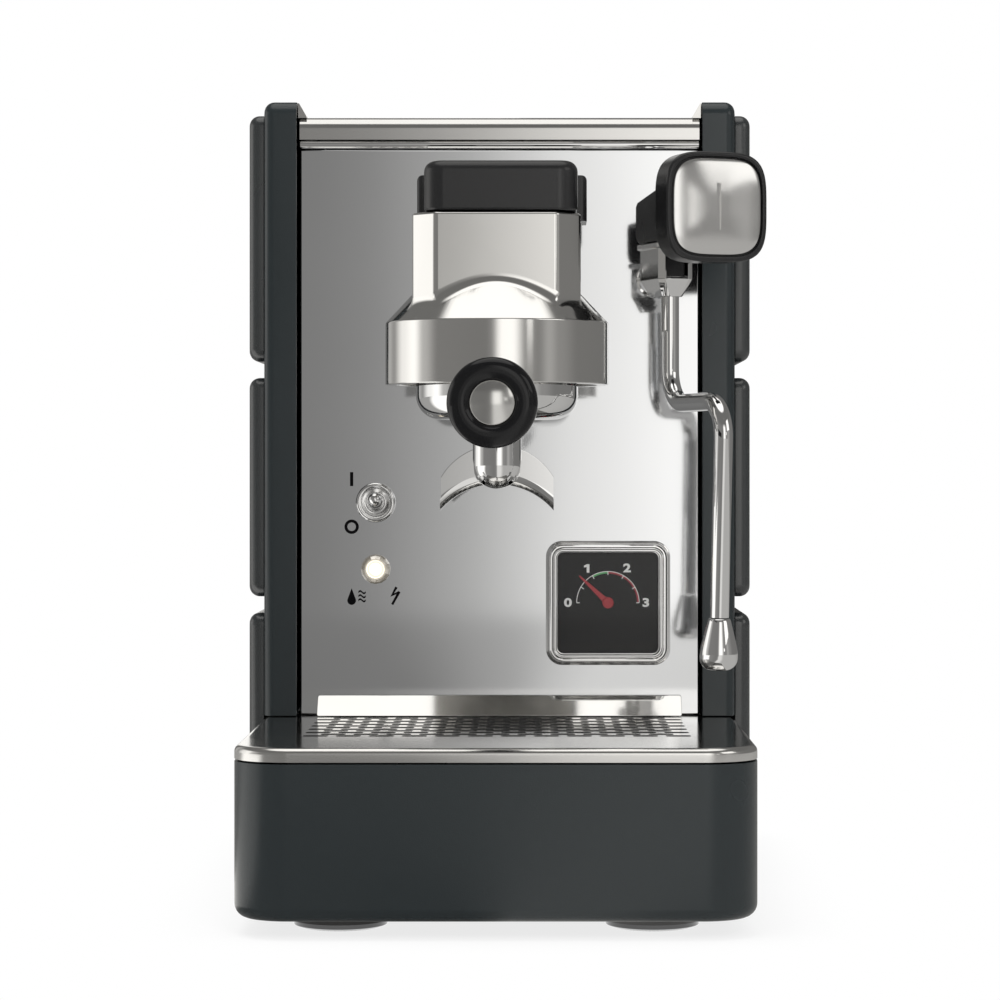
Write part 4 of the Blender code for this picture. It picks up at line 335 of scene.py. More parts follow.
def finish(name, colour, metallic=0.0, roughness=0.4, grain=None, clouds=None, stretch=(1, 1, 1),
           tint=0.06, **sockets):
    """A finish: its colour, a fine grain in its surface as (scale, depth), and slow clouds of
    roughness as (scale, spread), as from uneven polishing and handling."""
    material = bpy.data.materials.new(name)
    material.use_nodes = True
    tree = material.node_tree
    inputs = tree.nodes["Principled BSDF"].inputs
    sockets.update(Base_Color=(*colour, 1), Metallic=metallic, Roughness=roughness)
    for key, value in sockets.items():
        inputs[key.replace("_", " ")].default_value = value
    spot = place_on(tree)
    if clouds:
        scale, spread = clouds
        cloud = wire(tree, "TexNoise", {"Vector": spot, "Scale": scale, "Detail": 3.0}).outputs[0]
        uneven = wire(tree, "MapRange", {"Value": cloud, "From Min": 0.3, "From Max": 0.7,
                                         "To Min": roughness * (1 - spread),
                                         "To Max": roughness * (1 + spread)})
        tree.links.new(uneven.outputs[0], inputs["Roughness"])
        worn = tuple(min(1, part * (1 + tint)) for part in colour)
        fresh = tuple(part * (1 - tint) for part in colour)
        tone = wire(tree, "Mix", {0: cloud, 6: (*fresh, 1), 7: (*worn, 1)}, data_type="RGBA")
        tree.links.new(tone.outputs[2], inputs["Base Color"])
    if grain:
        scale, depth = grain
        drawn = wire(tree, "Mapping", {"Vector": spot, "Scale": stretch}).outputs[0]
        speck = wire(tree, "TexNoise", {"Vector": drawn, "Scale": scale, "Detail": 2.0}).outputs[0]
        relief = wire(tree, "Bump", {"Height": speck, "Distance": depth, "Strength": 1.0})
        tree.links.new(relief.outputs[0], inputs["Normal"])
    return material


def piece(name, bm, material, body, slot, *nodes, angle=35):
    """Make a shape into a piece that rides on a body and stands for its CAD nodes."""
    mesh = bpy.data.meshes.new(name)
    bm.to_mesh(mesh)
    bm.free()
    mesh.materials.append(material)
    mesh.shade_smooth()
    mesh.set_sharp_from_angle(angle=radians(angle))
    thing = bpy.data.objects.new(name, mesh)
    scene.collection.objects.link(thing)
    flat_faces = thing.modifiers.new("flat_faces", "WEIGHTED_NORMAL")
    flat_faces.keep_sharp = True
    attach(thing, body)
    if nodes:
        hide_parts(*nodes)
    return thing


powder_coat = finish("powder_coat", (0.016, 0.0215, 0.0235), 0, 0.24, grain=(1500, 0.000035),
                     clouds=(9, 0.18))
low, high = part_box("base_housing")
bm = rounded_block(low, high, Z, 0.025, 16)
round_edges(bm, 0.006, 6, lies(Z, low.z))
open_faces(bm, Z, high.z)
bm = walled(bm, 0.0015)
soften(bm, 0.0003)
piece("base_shell", bm, powder_coat, "machine", "paint", "base_housing")


# FEET
# Four round feet of hard black rubber, each with a shallow groove round it, screwed to the tub.
def turned(profile, steps=64, centre=(0, 0, 0), direction=(0, 0, 1), closed=False):
    """Spin a profile of (radius, height) points about an axis through the centre."""
    bm = bmesh.new()
    verts = [bm.verts.new((radius, 0, height)) for radius, height in profile]
    pairs = list(zip(verts, verts[1:])) + ([(verts[-1], verts[0])] if closed else [])
    edges = [bm.edges.new(pair) for pair in pairs]
    bmesh.ops.spin(bm, geom=verts + edges, cent=(0, 0, 0), axis=(0, 0, 1), angle=tau,
                   steps=steps, use_merge=True)
    bmesh.ops.remove_doubles(bm, verts=bm.verts, dist=0.000001)
    bmesh.ops.recalc_face_normals(bm, faces=bm.faces)
    turn = Vector((0, 0, 1)).rotation_difference(Vector(direction)).to_matrix().to_4x4()
    bm.transform(Matrix.Translation(centre) @ turn)
    return bm


foot_rubber = finish("foot_rubber", (0.030, 0.030, 0.031), 0, 0.17, clouds=(60, 0.2),
                     Specular_IOR_Level=1.0, Coat_Weight=1.0)
for corner in ("front_left", "front_right", "rear_left", "rear_right"):
    low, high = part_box("foot_" + corner)
    radius, top = (high.x - low.x) / 2, high.z - low.z
    profile = ((0, 0), (radius - 0.003, 0), (radius, 0.0012), (radius, top - 0.0026),
               (radius - 0.0008, top - 0.0022), (radius - 0.0008, top - 0.0014),
               (radius, top - 0.001), (radius, top), (0, top))
    bm = turned(profile, 72, ((low.x + high.x) / 2, (low.y + high.y) / 2, 0))
    soften(bm, 0.0003)
    piece("foot_pad_" + corner, bm, foot_rubber, "machine", "rubber", "foot_" + corner)


# DRIP TRAY
# A deep-drawn tray of polished stainless sheet with leaning walls and a flat rim, which stands
# loose in the tub and catches what runs through the cover.
def only_verts(geom):
    """The vertices among the things that an operator gives back."""
    return [item for item in geom if isinstance(item, bmesh.types.BMVert)]


# The tray's steel is coloured much darker than bare stainless. This paints the shade inside the
# tray under the cover.
shade_darkened_tray_steel = finish("shade_darkened_tray_steel", (0.30, 0.297, 0.29), 1, 0.30, grain=(500, 0.000004),
                    clouds=(14, 0.25), stretch=(1, 8, 8))
RIM, TRAY_SHEET = 0.006, 0.0014
low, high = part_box("drip_tray")
brim_level = high.z - TRAY_SHEET
bm = rounded_block((low.x + RIM, low.y + RIM, low.z), (high.x - RIM, high.y - RIM, brim_level),
                   Z, 0.008, 8)
floor_verts = [vert for vert in bm.verts if vert.co.z < low.z + 0.001]
middle = (low + high) / 2
bmesh.ops.scale(bm, vec=(0.957, 0.949, 1), verts=floor_verts, space=Matrix.Translation(-middle))
round_edges(bm, 0.006, 4, lies(Z, low.z))
open_faces(bm, Z, brim_level)
brim = [edge for edge in bm.edges if edge.is_boundary]
spread = only_verts(bmesh.ops.extrude_edge_only(bm, edges=brim)["geom"])
width, depth = high.x - low.x, high.y - low.y
bmesh.ops.scale(bm, vec=(width / (width - 2 * RIM), depth / (depth - 2 * RIM), 1), verts=spread,
                space=Matrix.Translation(-middle))
bmesh.ops.recalc_face_normals(bm, faces=bm.faces)
bmesh.ops.reverse_faces(bm, faces=bm.faces)
piece("tray_pan", walled(bm, TRAY_SHEET), shade_darkened_tray_steel, "drip_tray", "polished_steel", "drip_tray")


# TRAY COVER
# Polished stainless sheet, folded down at its front and sides with a soft edge, and punched with
# staggered rows of round-ended slots. A tongue runs back between the side frames.
def prism(outline, axis, start, end):
    """A solid with a flat outline, drawn out along an axis from one level to another."""
    bm = bmesh.new()
    verts = []
    for pair in outline:
        spot = list(pair)
        spot.insert(axis, start)
        verts.append(bm.verts.new(spot))
    drawn = bmesh.ops.extrude_face_region(bm, geom=[bm.faces.new(verts)])["geom"]
    shift = Vector((0, 0, 0))
    shift[axis] = end - start
    bmesh.ops.translate(bm, vec=shift, verts=only_verts(drawn))
    bmesh.ops.recalc_face_normals(bm, faces=bm.faces)
    return bm


def repeated(bm, offsets):
    """Repeat a shape at each of the offsets from where it is."""
    first = bm.verts[:] + bm.edges[:] + bm.faces[:]
    for offset in offsets:
        twin = bmesh.ops.duplicate(bm, geom=first)["geom"]
        bmesh.ops.translate(bm, vec=offset, verts=only_verts(twin))
    bmesh.ops.delete(bm, geom=only_verts(first), context="VERTS")
    return bm


def slot_tool(width, depth, level):
    """A cutter for a slot with round ends in a flat sheet, at the middle of the floor."""
    return rounded_block((-width / 2, -depth / 2, level - 0.004),
                         (width / 2, depth / 2, level + 0.004), Z, 0.0019, 4)


def cover_outline(inset):
    """The outline of the cover and its tongue, or of the room in it, further in by the sheet."""
    half, tongue, front = high.x - inset, TONGUE - inset, low.y + inset
    back, shoulder = high.y - inset, SHOULDER - inset
    return [(-half, front), (half, front), (half, shoulder), (tongue, shoulder), (tongue, back),
            (-tongue, back), (-tongue, shoulder), (-half, shoulder)]


cover_steel = finish("cover_steel", (0.75, 0.742, 0.725), 1, 0.13, grain=(300, 0.000002),
                     clouds=(11, 0.3), stretch=(1, 14, 14))
low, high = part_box("tray_cover")
TONGUE, SHOULDER = 0.0984, 0.0357
COVER_SHEET = 0.0012
SLOTS, SLOT_PITCH = 12, 0.015
ROWS, ROW_PITCH, FIRST_ROW = 12, 0.0095, -0.078
bm = prism(cover_outline(0), Z, low.z + 0.0005, high.z)
round_edges(bm, 0.025, 18, runs(Z), lies(Y, low.y))
round_edges(bm, 0.003, 6, lies(Z, high.z),
            lambda edge: min(vert.co.y for vert in edge.verts) < SHOULDER - 0.0001)
room = prism(cover_outline(COVER_SHEET), Z, low.z - 0.002, high.z - COVER_SHEET)
round_edges(room, 0.0238, 18, runs(Z), lies(Y, low.y + COVER_SHEET))
places = [(SLOT_PITCH * (column - (SLOTS - row % 2 - 1) / 2), FIRST_ROW + ROW_PITCH * row, 0)
          for row in range(ROWS) for column in range(SLOTS - row % 2)]
bm = cut(bm, room, repeated(slot_tool(0.0114, 0.0077, high.z), places))
cover = piece("slotted_cover", bm, cover_steel, "tray_cover", "polished_steel", "tray_cover")
# The sheared walls of the slots get a near-black matt finish, which paints the shade inside the
# slots.
HALF_FIELD_WIDTH, HALF_FIELD_DEPTH, FIELD_MIDDLE = 0.0915, 0.058, -0.026
cover.data.materials.append(finish("painted_slot_shade", (0.03, 0.03, 0.03), 0, 0.6))
for side in cover.data.polygons:
    if (abs(side.normal.z) < 0.1 and abs(side.center.x) < HALF_FIELD_WIDTH
            and abs(side.center.y - FIELD_MIDDLE) < HALF_FIELD_DEPTH):
        side.material_index = 1


# FINGER LIP
# A strip of polished sheet with nearly square corners, spot welded along the back of the cover to
# lift it by. It leans back.
low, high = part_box("cover_lip")
bm = rounded_block(low, high, Y, 0.0008, 3)
soften(bm, 0.0003)
LEAN, FORWARD_SHIFT = 0.85, 0.0048
for vert in bm.verts:
    vert.co.y += (vert.co.z - low.z) * LEAN - FORWARD_SHIFT
lip_steel = finish("lip_steel", (0.80, 0.795, 0.78), 1, 0.07, grain=(300, 0.0000015),
                   clouds=(20, 0.3), stretch=(1, 10, 10))
piece("finger_lip", bm, lip_steel, "tray_cover", "polished_steel", "cover_lip")


# CHASSIS DECK
# The folded top of the chassis under the tower, in the same polished sheet as the cover, with a
# wall that hangs down from it between the drip tray and the pump.
ACROSS, BACK, UP, FORWARD = (1, 0, 0), (0, 1, 0), (0, 0, 1), (0, -1, 0)


def rod(radius, start, end, centre=(0, 0, 0), direction=UP, steps=48):
    """A plain round bar from one station to another along its direction."""
    return turned([(0, start), (radius, start), (radius, end), (0, end)], steps, centre, direction)


low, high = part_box("chassis_deck")
DECK_SHEET, DECK_RIM = 0.0015, 0.0778
TROUGH, SEAM = 0.0987, 0.0453
TANK_VALVE = (-0.055, 0.211, 0)
half, back = high.x, high.y - DECK_SHEET
bm = prism([(-half, low.y), (-TROUGH, low.y), (-TROUGH, SEAM), (TROUGH, SEAM), (TROUGH, low.y),
            (half, low.y), (half, high.y), (-half, high.y)], Z, DECK_RIM, high.z)
round_edges(bm, 0.025, 14, runs(Z), lies(Y, high.y))
round_edges(bm, 0.003, 5, lies(Z, high.z),
            lambda edge: max(vert.co.y for vert in edge.verts) > SEAM + 0.0001)
half -= DECK_SHEET
room = prism([(-half, SEAM + DECK_SHEET), (half, SEAM + DECK_SHEET), (half, back), (-half, back)],
             Z, 0.075, high.z - DECK_SHEET)
round_edges(room, 0.0235, 14, runs(Z), lies(Y, back))
bm = cut(bm, room, rod(0.007, 0.07, 0.09, TANK_VALVE, steps=24),
         rod(0.005, 0.07, 0.09, (-0.08, 0.06, 0), steps=20))
bm = joined(bm, block((-0.108, 0.04605, low.z), (0.108, 0.04755, 0.0833)))
piece("deck_sheet", bm, cover_steel, "machine", "satin_steel", "chassis_deck")


# SIDE FRAMES
# Two pans of pressed steel sheet in the same powder coat, open towards the middle, which stand on
# the deck and hold the panels between them. Their corners and outer edges are pressed round.
for side in ("left", "right"):
    low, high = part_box("side_frame_" + side)
    inner, outer = (high.x, low.x) if side == "left" else (low.x, high.x)
    bm = block(low, high)
    round_edges(bm, 0.007, 8, runs(X), lies(Z, high.z))
    round_edges(bm, 0.005, 7, lies(X, outer), lambda edge: not lies(Z, low.z)(edge))
    open_faces(bm, X, inner)
    bm = walled(bm, 0.002)
    soften(bm, 0.0004)
    piece("frame_" + side, bm, powder_coat, "machine", "paint", "side_frame_" + side)


# SIDE PADS
# Six moulded pads in a slightly paler satin coat, three a side, held on the frames from within.
# Their outer edges are generously round.
pad_coat = finish("pad_coat", (0.020, 0.023, 0.024), 0, 0.27, grain=(1100, 0.00003),
                  clouds=(10, 0.2), Specular_IOR_Level=1.0)
for side in ("left", "right"):
    for row in ("upper", "middle", "lower"):
        low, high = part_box(f"side_pad_{side}_{row}")
        bm = rounded_block(low, high, X, 0.006, 8)
        round_edges(bm, 0.005, 8, lies(X, low.x if side == "left" else high.x))
        soften(bm, 0.0004)
        piece(f"pad_{side}_{row}", bm, pad_coat, "machine", "pad", f"side_pad_{side}_{row}")


# FRONT PANEL
# Polished stainless sheet with its four edges folded back, screwed between the frames from behind.
# Holes let through the group's neck, the tap, the gauge, the switch and the lamp.
def arc(centre, radius, start, end, steps):
    """Points on an arc from one angle to another, both in degrees."""
    angles = [radians(start + (end - start) * step / steps) for step in range(steps + 1)]
    return [(centre[0] + radius * cos(angle), centre[1] + radius * sin(angle)) for angle in angles]


panel_steel = finish("panel_steel", (0.775, 0.785, 0.80), 1, 0.06, grain=(260, 0.0000012),
                     clouds=(7, 0.18), stretch=(14, 14, 1))
NECK, TAP, GAUGE = (0, 0.300), (0.076, 0.299), (0.0534, 0.1396)
SWITCH, LAMP = (-0.0611, 0.189), (-0.0611, 0.1561)
low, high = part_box("front_panel")
face = low.y
bm = block(low, high)
round_edges(bm, 0.0008, 3, lies(Y, face))
open_faces(bm, Y, high.y)
bm = walled(bm, 0.0012)
for (x, level), radius in ((NECK, 0.0145), (TAP, 0.008), (GAUGE, 0.0265), (SWITCH, 0.0065),
                           (LAMP, 0.0065)):
    bm = cut(bm, rod(radius, face - 0.002, face + 0.004, (x, 0, level), BACK))
piece("panel_sheet", bm, panel_steel, "machine", "polished_steel", "front_panel")


# PANEL MARKS
# Plain signs in dark enamel, filled flush into the panel round the switch and the lamp: on, off,
# water, steam and power.
def band(centre, inner, outer, start, end, steps):
    """The outline of a part of a ring, between two radii and two angles in degrees."""
    return arc(centre, outer, start, end, steps) + arc(centre, inner, end, start, steps)


def gathered(shapes):
    """Several separate shapes as one."""
    bm = bmesh.new()
    for shape in shapes:
        mesh = bpy.data.meshes.new("at_work")
        shape.to_mesh(mesh)
        shape.free()
        bm.from_mesh(mesh)
        bpy.data.meshes.remove(mesh)
    return bm


mark_enamel = finish("mark_enamel", (0.003, 0.003, 0.0035), 0, 0.5, Specular_IOR_Level=0.05)
on = [(-0.0738, 0.19705), (-0.0722, 0.19705), (-0.0722, 0.20395), (-0.0738, 0.20395)]
off = [band((-0.073, 0.177), 0.0021, 0.00355, turn, turn + 180, 20) for turn in (0, 180)]
drop = arc((-0.073, 0.1406), 0.00215, -205, 25, 20) + [(-0.073, 0.1467)]
bolt = [(-0.0515, 0.1475), (-0.0503, 0.1469), (-0.0521, 0.1441), (-0.0498, 0.1453),
        (-0.0489, 0.1446), (-0.0525, 0.1383), (-0.0535, 0.1389), (-0.0509, 0.1437),
        (-0.0539, 0.1424)]
outlines = [on, *off, drop, bolt]
HALF_WAVE_WIDTH = 0.00047
for level in (0.1447, 0.1427, 0.1407):
    bends = [(-0.0697 + 0.00046 * step, level + 0.0006 * sin(step * tau / 8)) for step in range(9)]
    outlines.append([(a, b - HALF_WAVE_WIDTH) for a, b in bends]
                    + [(a, b + HALF_WAVE_WIDTH) for a, b in bends[::-1]])
marks = gathered(prism(outline, Y, face - 0.00004, face + 0.0003) for outline in outlines)
piece("panel_marks", marks, mark_enamel, "machine", "gloss_black")


# TOP RAIL
# A bright bar of drawn steel with a half-round front, across the tower above the panel.
bright_chrome = finish("bright_chrome", (0.84, 0.84, 0.84), 1, 0.04, clouds=(30, 0.3), tint=0.01)
low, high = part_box("top_rail")
BAR_FORWARD = 0.0016
bm = rounded_block((low.x, low.y - BAR_FORWARD, low.z), high, X, 0.0019, 8)
soften(bm, 0.0003)
piece("top_bar", bm, bright_chrome, "machine", "chrome", "top_rail")


# TOP COVER AND TANK LID
# Two folded lids of polished stainless sheet close the top of the tower, where cups stand to warm.
# Each has a bright sloped flange along both frames. The front one has vents, and the rear one
# has a finger hole, and lifts off.
lid_steel = finish("lid_steel", (0.71, 0.703, 0.69), 1, 0.11, grain=(260, 0.0000015),
                   clouds=(9, 0.25), stretch=(1, 12, 12))
LID_SHEET = 0.0012
FLANGE_TOP, FLANGE_FOOT, FLANGE_EDGE, FLANGE_LEVEL = 0.0951, 0.0988, 0.0992, 0.3857
for node, body in (("top_cover", "machine"), ("tank_lid", "tank_lid")):
    low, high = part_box(node)
    rim, inwards = (low.y, LID_SHEET) if body == "machine" else (high.y, -LID_SHEET)
    under = high.z - LID_SHEET
    bm = block(low, high)
    round_edges(bm, 0.0065, 12, lies(Z, high.z), lies(Y, rim))
    room = block((low.x + LID_SHEET, low.y + LID_SHEET, low.z - 0.002),
                 (high.x - LID_SHEET, high.y - LID_SHEET, under))
    round_edges(room, 0.0053, 12, lies(Z, under), lies(Y, rim + inwards))
    bm = cut(bm, room)
    for side in (-1, 1):
        slope = [(side * FLANGE_TOP, high.z - 0.0005), (side * FLANGE_TOP, high.z + 0.0003),
                 (side * FLANGE_FOOT, FLANGE_LEVEL), (side * FLANGE_EDGE, FLANGE_LEVEL),
                 (side * FLANGE_EDGE, high.z - 0.0005)]
        bm = joined(bm, prism(slope, Y, low.y + LID_SHEET, high.y - LID_SHEET))
    if body == "machine":
        vents = [(0.014 * (number - 4), 0.106, 0) for number in range(9)]
        bm = cut(bm, repeated(slot_tool(0.0042, 0.036, high.z), vents))
        piece("cup_cover", bm, lid_steel, body, "polished_steel", node)
    else:
        middle = ((low.x + high.x) / 2, (low.y + high.y) / 2, 0)
        bm = cut(bm, rod(0.012, high.z - 0.004, high.z + 0.002, middle, UP, 64))
        piece("tank_cover", bm, lid_steel, body, "polished_steel", node)


# WATER TANK
# A moulded box of smoked clear plastic, open at the top, with a short valve spigot under it that
# drops into the shelf.
smoked_plastic = finish("smoked_plastic", (0.16, 0.18, 0.19), 0, 0.12, clouds=(25, 0.3),
                        Alpha=0.62)
low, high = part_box("water_tank")
FLOOR, TANK_WALL = 0.190, 0.0022
bm = rounded_block((low.x, low.y, FLOOR), high, Z, 0.012, 10)
round_edges(bm, 0.003, 4, lies(Z, FLOOR))
bm = cut(bm, rounded_block((low.x + TANK_WALL, low.y + TANK_WALL, FLOOR + TANK_WALL),
                           (high.x - TANK_WALL, high.y - TANK_WALL, high.z + 0.002),
                           Z, 0.0098, 10))
spigot = turned([(0, low.z), (0.0075, low.z), (0.009, low.z + 0.0015), (0.009, low.z + 0.005),
                 (0.0083, low.z + 0.0055), (0.0083, low.z + 0.0075), (0.009, low.z + 0.008),
                 (0.009, FLOOR + 0.001), (0, FLOOR + 0.001)], 32, TANK_VALVE)
bm = joined(bm, spigot)
soften(bm, 0.0003)
piece("tank_shell", bm, smoked_plastic, "water_tank", "tank", "water_tank")


# TANK SHELF
# A folded steel shelf under the tank, with a hole that takes the tank's spigot.
satin_steel = finish("satin_steel", (0.60, 0.60, 0.59), 1, 0.28, grain=(500, 0.000004),
                     clouds=(16, 0.25), stretch=(1, 9, 9))
low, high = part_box("tank_shelf")
SHELF_SHEET = 0.0015
front, back, under = low.y + SHELF_SHEET, high.y - SHELF_SHEET, high.z - SHELF_SHEET
bm = prism([(low.y, high.z - 0.010), (front, high.z - 0.010), (front, under), (back, under),
            (back, low.z), (high.y, low.z), (high.y, high.z), (low.y, high.z)], X, low.x, high.x)
round_edges(bm, 0.0012, 3, runs(X), lies(Z, high.z))
bm = cut(bm, rod(0.0095, high.z - 0.004, high.z + 0.002, TANK_VALVE, UP, 40))
piece("shelf_sheet", bm, satin_steel, "machine", "satin_steel", "tank_shelf")


# REAR PANEL
# Powder-coated sheet with its edges folded forwards. Eight louvres are pressed out of it, each
# with a slanted blade behind its opening, and four screws hold it to the frames.
low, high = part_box("rear_panel")
back = high.y
bm = block(low, high)
round_edges(bm, 0.0015, 4, lies(Y, back))
open_faces(bm, Y, low.y)
bm = walled(bm, 0.0012)
levels = [(0, 0, 0.230 + 0.012 * number) for number in range(8)]
opening = rounded_block((-0.045, back - 0.003, -0.002), (0.045, back + 0.002, 0.002), Y, 0.0018, 4)
inlet_hole = rounded_block((0.0462, back - 0.003, 0.1117), (0.0738, back + 0.002, 0.1323),
                           Y, 0.0033, 5)
bm = cut(bm, repeated(opening, levels), inlet_hole)
blade = prism([(back - 0.0012, 0.0024), (back - 0.0002, 0.0019), (back - 0.0052, -0.0028),
               (back - 0.0060, -0.0022)], X, -0.0456, 0.0456)
bm = gathered([bm, repeated(blade, levels)])
piece("rear_sheet", bm, powder_coat, "machine", "paint", "rear_panel")
heads = []
ARM, HALF_ARM_WIDTH = 0.0017, 0.0003
for x in (-0.088, 0.088):
    for level in (0.096, 0.354):
        head = turned([(0, back - 0.001), (0.0034, back - 0.001), (0.0034, back + 0.0004),
                       (0.0029, back + 0.0011), (0.0017, back + 0.0015), (0, back + 0.0016)],
                      28, (x, 0, level), BACK)
        for a, b in ((ARM, HALF_ARM_WIDTH), (HALF_ARM_WIDTH, ARM)):
            head = cut(head, block((x - a, back + 0.0007, level - b),
                                   (x + a, back + 0.003, level + b)))
        heads.append(head)
piece("rear_screws", gathered(heads), satin_steel, "machine", "satin_steel")


# MAINS INLET
# A moulded black inlet with a flange, snapped into the rear panel, with three nickelled blades.
black_plastic = finish("black_plastic", (0.012, 0.012, 0.0125), 0, 0.24, grain=(1300, 0.00003),
                       clouds=(18, 0.15))
low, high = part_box("mains_inlet")
back = high.y
body = rounded_block((0.0465, low.y, 0.112), (0.0735, back - 0.001, 0.132), Y, 0.003, 5)
flange = rounded_block((0.044, back - 0.0022, 0.1095), (0.076, back, 0.1345), Y, 0.003, 5)
round_edges(flange, 0.0006, 3, lies(Y, back))
socket = rounded_block((0.0485, back - 0.016, 0.114), (0.0715, back + 0.002, 0.130), Y, 0.002, 4)
piece("inlet_body", cut(joined(body, flange), socket), black_plastic, "machine", "black_plastic",
      "mains_inlet")
blades = gathered(block((x - 0.001, back - 0.017, level - 0.003),
                        (x + 0.001, 0.2493, level + 0.003))
                  for x, level in ((0.053, 0.120), (0.060, 0.124), (0.067, 0.120)))
soften(blades, 0.0003)
piece("inlet_blades", blades, bright_chrome, "machine", "chrome")


# GROUP HEAD
# Cast and polished: a round bell that holds the bayonet's ledge, with a conical shoulder, and a
# hollow block that rises out of it and runs back to the panel. A deep fillet joins the two.
def loft(rings):
    """Bridge a stack of closed outlines and close both ends."""
    bm = bmesh.new()
    loops = []
    for ring in rings:
        verts = [bm.verts.new(point) for point in ring]
        loops.append([bm.edges.new(pair) for pair in zip(verts, verts[1:] + verts[:1])])
    for lower, upper in zip(loops, loops[1:]):
        bmesh.ops.bridge_loops(bm, edges=lower + upper)
    for loop in (loops[0], loops[-1]):
        bmesh.ops.contextual_create(bm, geom=loop)
    bmesh.ops.recalc_face_normals(bm, faces=bm.faces)
    return bm


def fillet(outline, radius, spacing=0.001, steps=12, overlap=0.0013):
    """Sections of the fillet between the shoulder's cone and the walls of the block on it."""
    path = [outline[0]]
    for before, after in zip(outline, outline[1:]):
        count = max(1, round((after - before).length / spacing))
        path += [before.lerp(after, step / count) for step in range(1, count + 1)]
    fall = (TOP_OF_CONE.y - FOOT_OF_CONE.y) / (FOOT_OF_CONE.x - TOP_OF_CONE.x)
    rings = []
    for number, spot in enumerate(path):
        along = path[min(number + 2, len(path) - 1)] - path[max(number - 2, 0)]
        wall = Vector((along.y, -along.x, 0)).normalized()
        reach = spot - Vector((0, GROUP_Y))
        cone = Vector((*(reach.normalized() * fall), 1)).normalized()
        foot = Vector((*spot, FOOT_OF_CONE.y + fall * (FOOT_OF_CONE.x - reach.length)))
        middle = foot + (wall + cone) * radius / (1 + wall.dot(cone))
        ring = [foot - wall * overlap - cone * overlap]
        ring += [middle - wall.slerp(cone, step / steps) * radius for step in range(steps + 1)]
        rings.append(ring)
    return rings


GROUP_Y = -0.072
GROUP_AXIS = (0, GROUP_Y, 0)
group_metal = finish("group_metal", (0.82, 0.812, 0.795), 1, 0.11, clouds=(22, 0.2), tint=0.02)
low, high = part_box("group_head")
bell = arc((0.0504, 0.2441), 0.0005, -90, 0, 3) + arc((0.0497, 0.2713), 0.0012, 0, 43, 4)
FOOT_OF_CONE, TOP_OF_CONE = Vector(bell[-1]), Vector((0.0287, 0.2955))
profile = [(0, 0.2643), (0.0287, 0.2643), (0.0287, 0.2703), (0.0385, 0.2703), (0.0385, 0.2620),
           (0.0452, 0.2620), (0.0452, 0.2526), (0.0382, 0.2526), (0.0382, 0.2462),
           (0.0452, 0.2462), (0.0452, low.z + 0.0006), (0.0458, low.z), *bell,
           tuple(TOP_OF_CONE), (0, TOP_OF_CONE.y)]
bm = turned(profile, 128, GROUP_AXIS)
for middle in (-45, 135):
    sector = band((0, GROUP_Y), 0.0342, 0.0452, middle - 23.5, middle + 23.5, 12)
    bm = cut(bm, prism(sector, Z, 0.2449, 0.2539))
neck = block((-0.0379, GROUP_Y - 0.034, 0.2714), (0.0379, high.y, high.z))
front_upright = (runs(Z), lambda edge: edge.verts[0].co.y < GROUP_Y)
round_edges(neck, 0.0106, 1, *front_upright)
round_edges(neck, 0.0014, 5, *front_upright)
outline = [vert.co.to_2d() for vert in neck.verts if vert.co.z < 0.3 and vert.co.y < GROUP_Y]
outline.sort(key=lambda spot: atan2(spot.x, GROUP_Y - spot.y))
bm = joined(bm, neck, loft(fillet(outline, 0.0085)))
round_edges(bm, 0.0015, 4, lies(Z, high.z), turns(1))
room = block((-0.0349, GROUP_Y + 0.033, 0.2744), (0.0349, high.y + 0.002, high.z - 0.003))
piece("group_casting", cut(bm, room), group_metal, "machine", "group_metal", "group_head")


# GROUP GASKET AND SCREEN
# A moulded rubber ring in the group's groove, and under the boss a thin steel screen with rings
# of fine holes, held by one screw in the middle.
def hole_spots(pitch, rings, more):
    """Where fine holes go: on rings at a pitch, each with so many more holes than the last."""
    return [(pitch * ring * cos(tau * number / (more * ring)),
             GROUP_Y + pitch * ring * sin(tau * number / (more * ring)), 0)
            for ring in range(1, rings + 1) for number in range(more * ring)]


low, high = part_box("group_gasket")
bm = turned([(0.029, low.z + 0.0006), (0.0296, low.z), (0.0376, low.z), (0.0382, low.z + 0.0006),
             (0.0382, high.z), (0.029, high.z)], 96, GROUP_AXIS, closed=True)
seal_rubber = finish("seal_rubber", (0.02, 0.02, 0.021), 0, 0.6, grain=(1500, 0.00003),
                     clouds=(50, 0.2))
piece("seal_ring", bm, seal_rubber, "machine", "rubber", "group_gasket")
low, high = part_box("shower_screen")
bm = turned([(0, low.z), (0.0279, low.z), (0.0284, low.z + 0.0004), (0.0284, high.z),
             (0, high.z)], 72, GROUP_AXIS)
hole = rod(0.0006, low.z - 0.001, high.z + 0.001, steps=6)
piece("screen_disc", cut(bm, repeated(hole, hole_spots(0.004, 6, 8))), satin_steel, "machine",
      "satin_steel", "shower_screen")
bm = turned([(0, low.z - 0.0007), (0.0014, low.z - 0.0007), (0.0021, low.z - 0.0003),
             (0.0023, low.z + 0.0002), (0, low.z + 0.0002)], 28, GROUP_AXIS)
bm = cut(bm, block((-0.002, GROUP_Y - 0.0002, low.z - 0.001),
                   (0.002, GROUP_Y + 0.0002, low.z - 0.0003)))
piece("screen_screw", bm, satin_steel, "machine", "satin_steel")


# GROUP NECK
# A turned brass neck that carries the group on the boiler, with a bolted flange behind the plate.
brass = finish("brass", (0.60, 0.45, 0.20), 1, 0.26, grain=(600, 0.000004), clouds=(20, 0.3))
low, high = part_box("group_neck")
bm = turned([(0, low.y), (0.0134, low.y), (0.014, low.y + 0.0006), (0.014, 0.0498),
             (0.0234, 0.0498), (0.024, 0.0504), (0.024, 0.0552), (0.0234, 0.0558),
             (0.014, 0.0558), (0.014, high.y), (0, high.y)], 64, (NECK[0], 0, NECK[1]), BACK)
piece("neck_casting", bm, brass, "machine", "brass", "group_neck")


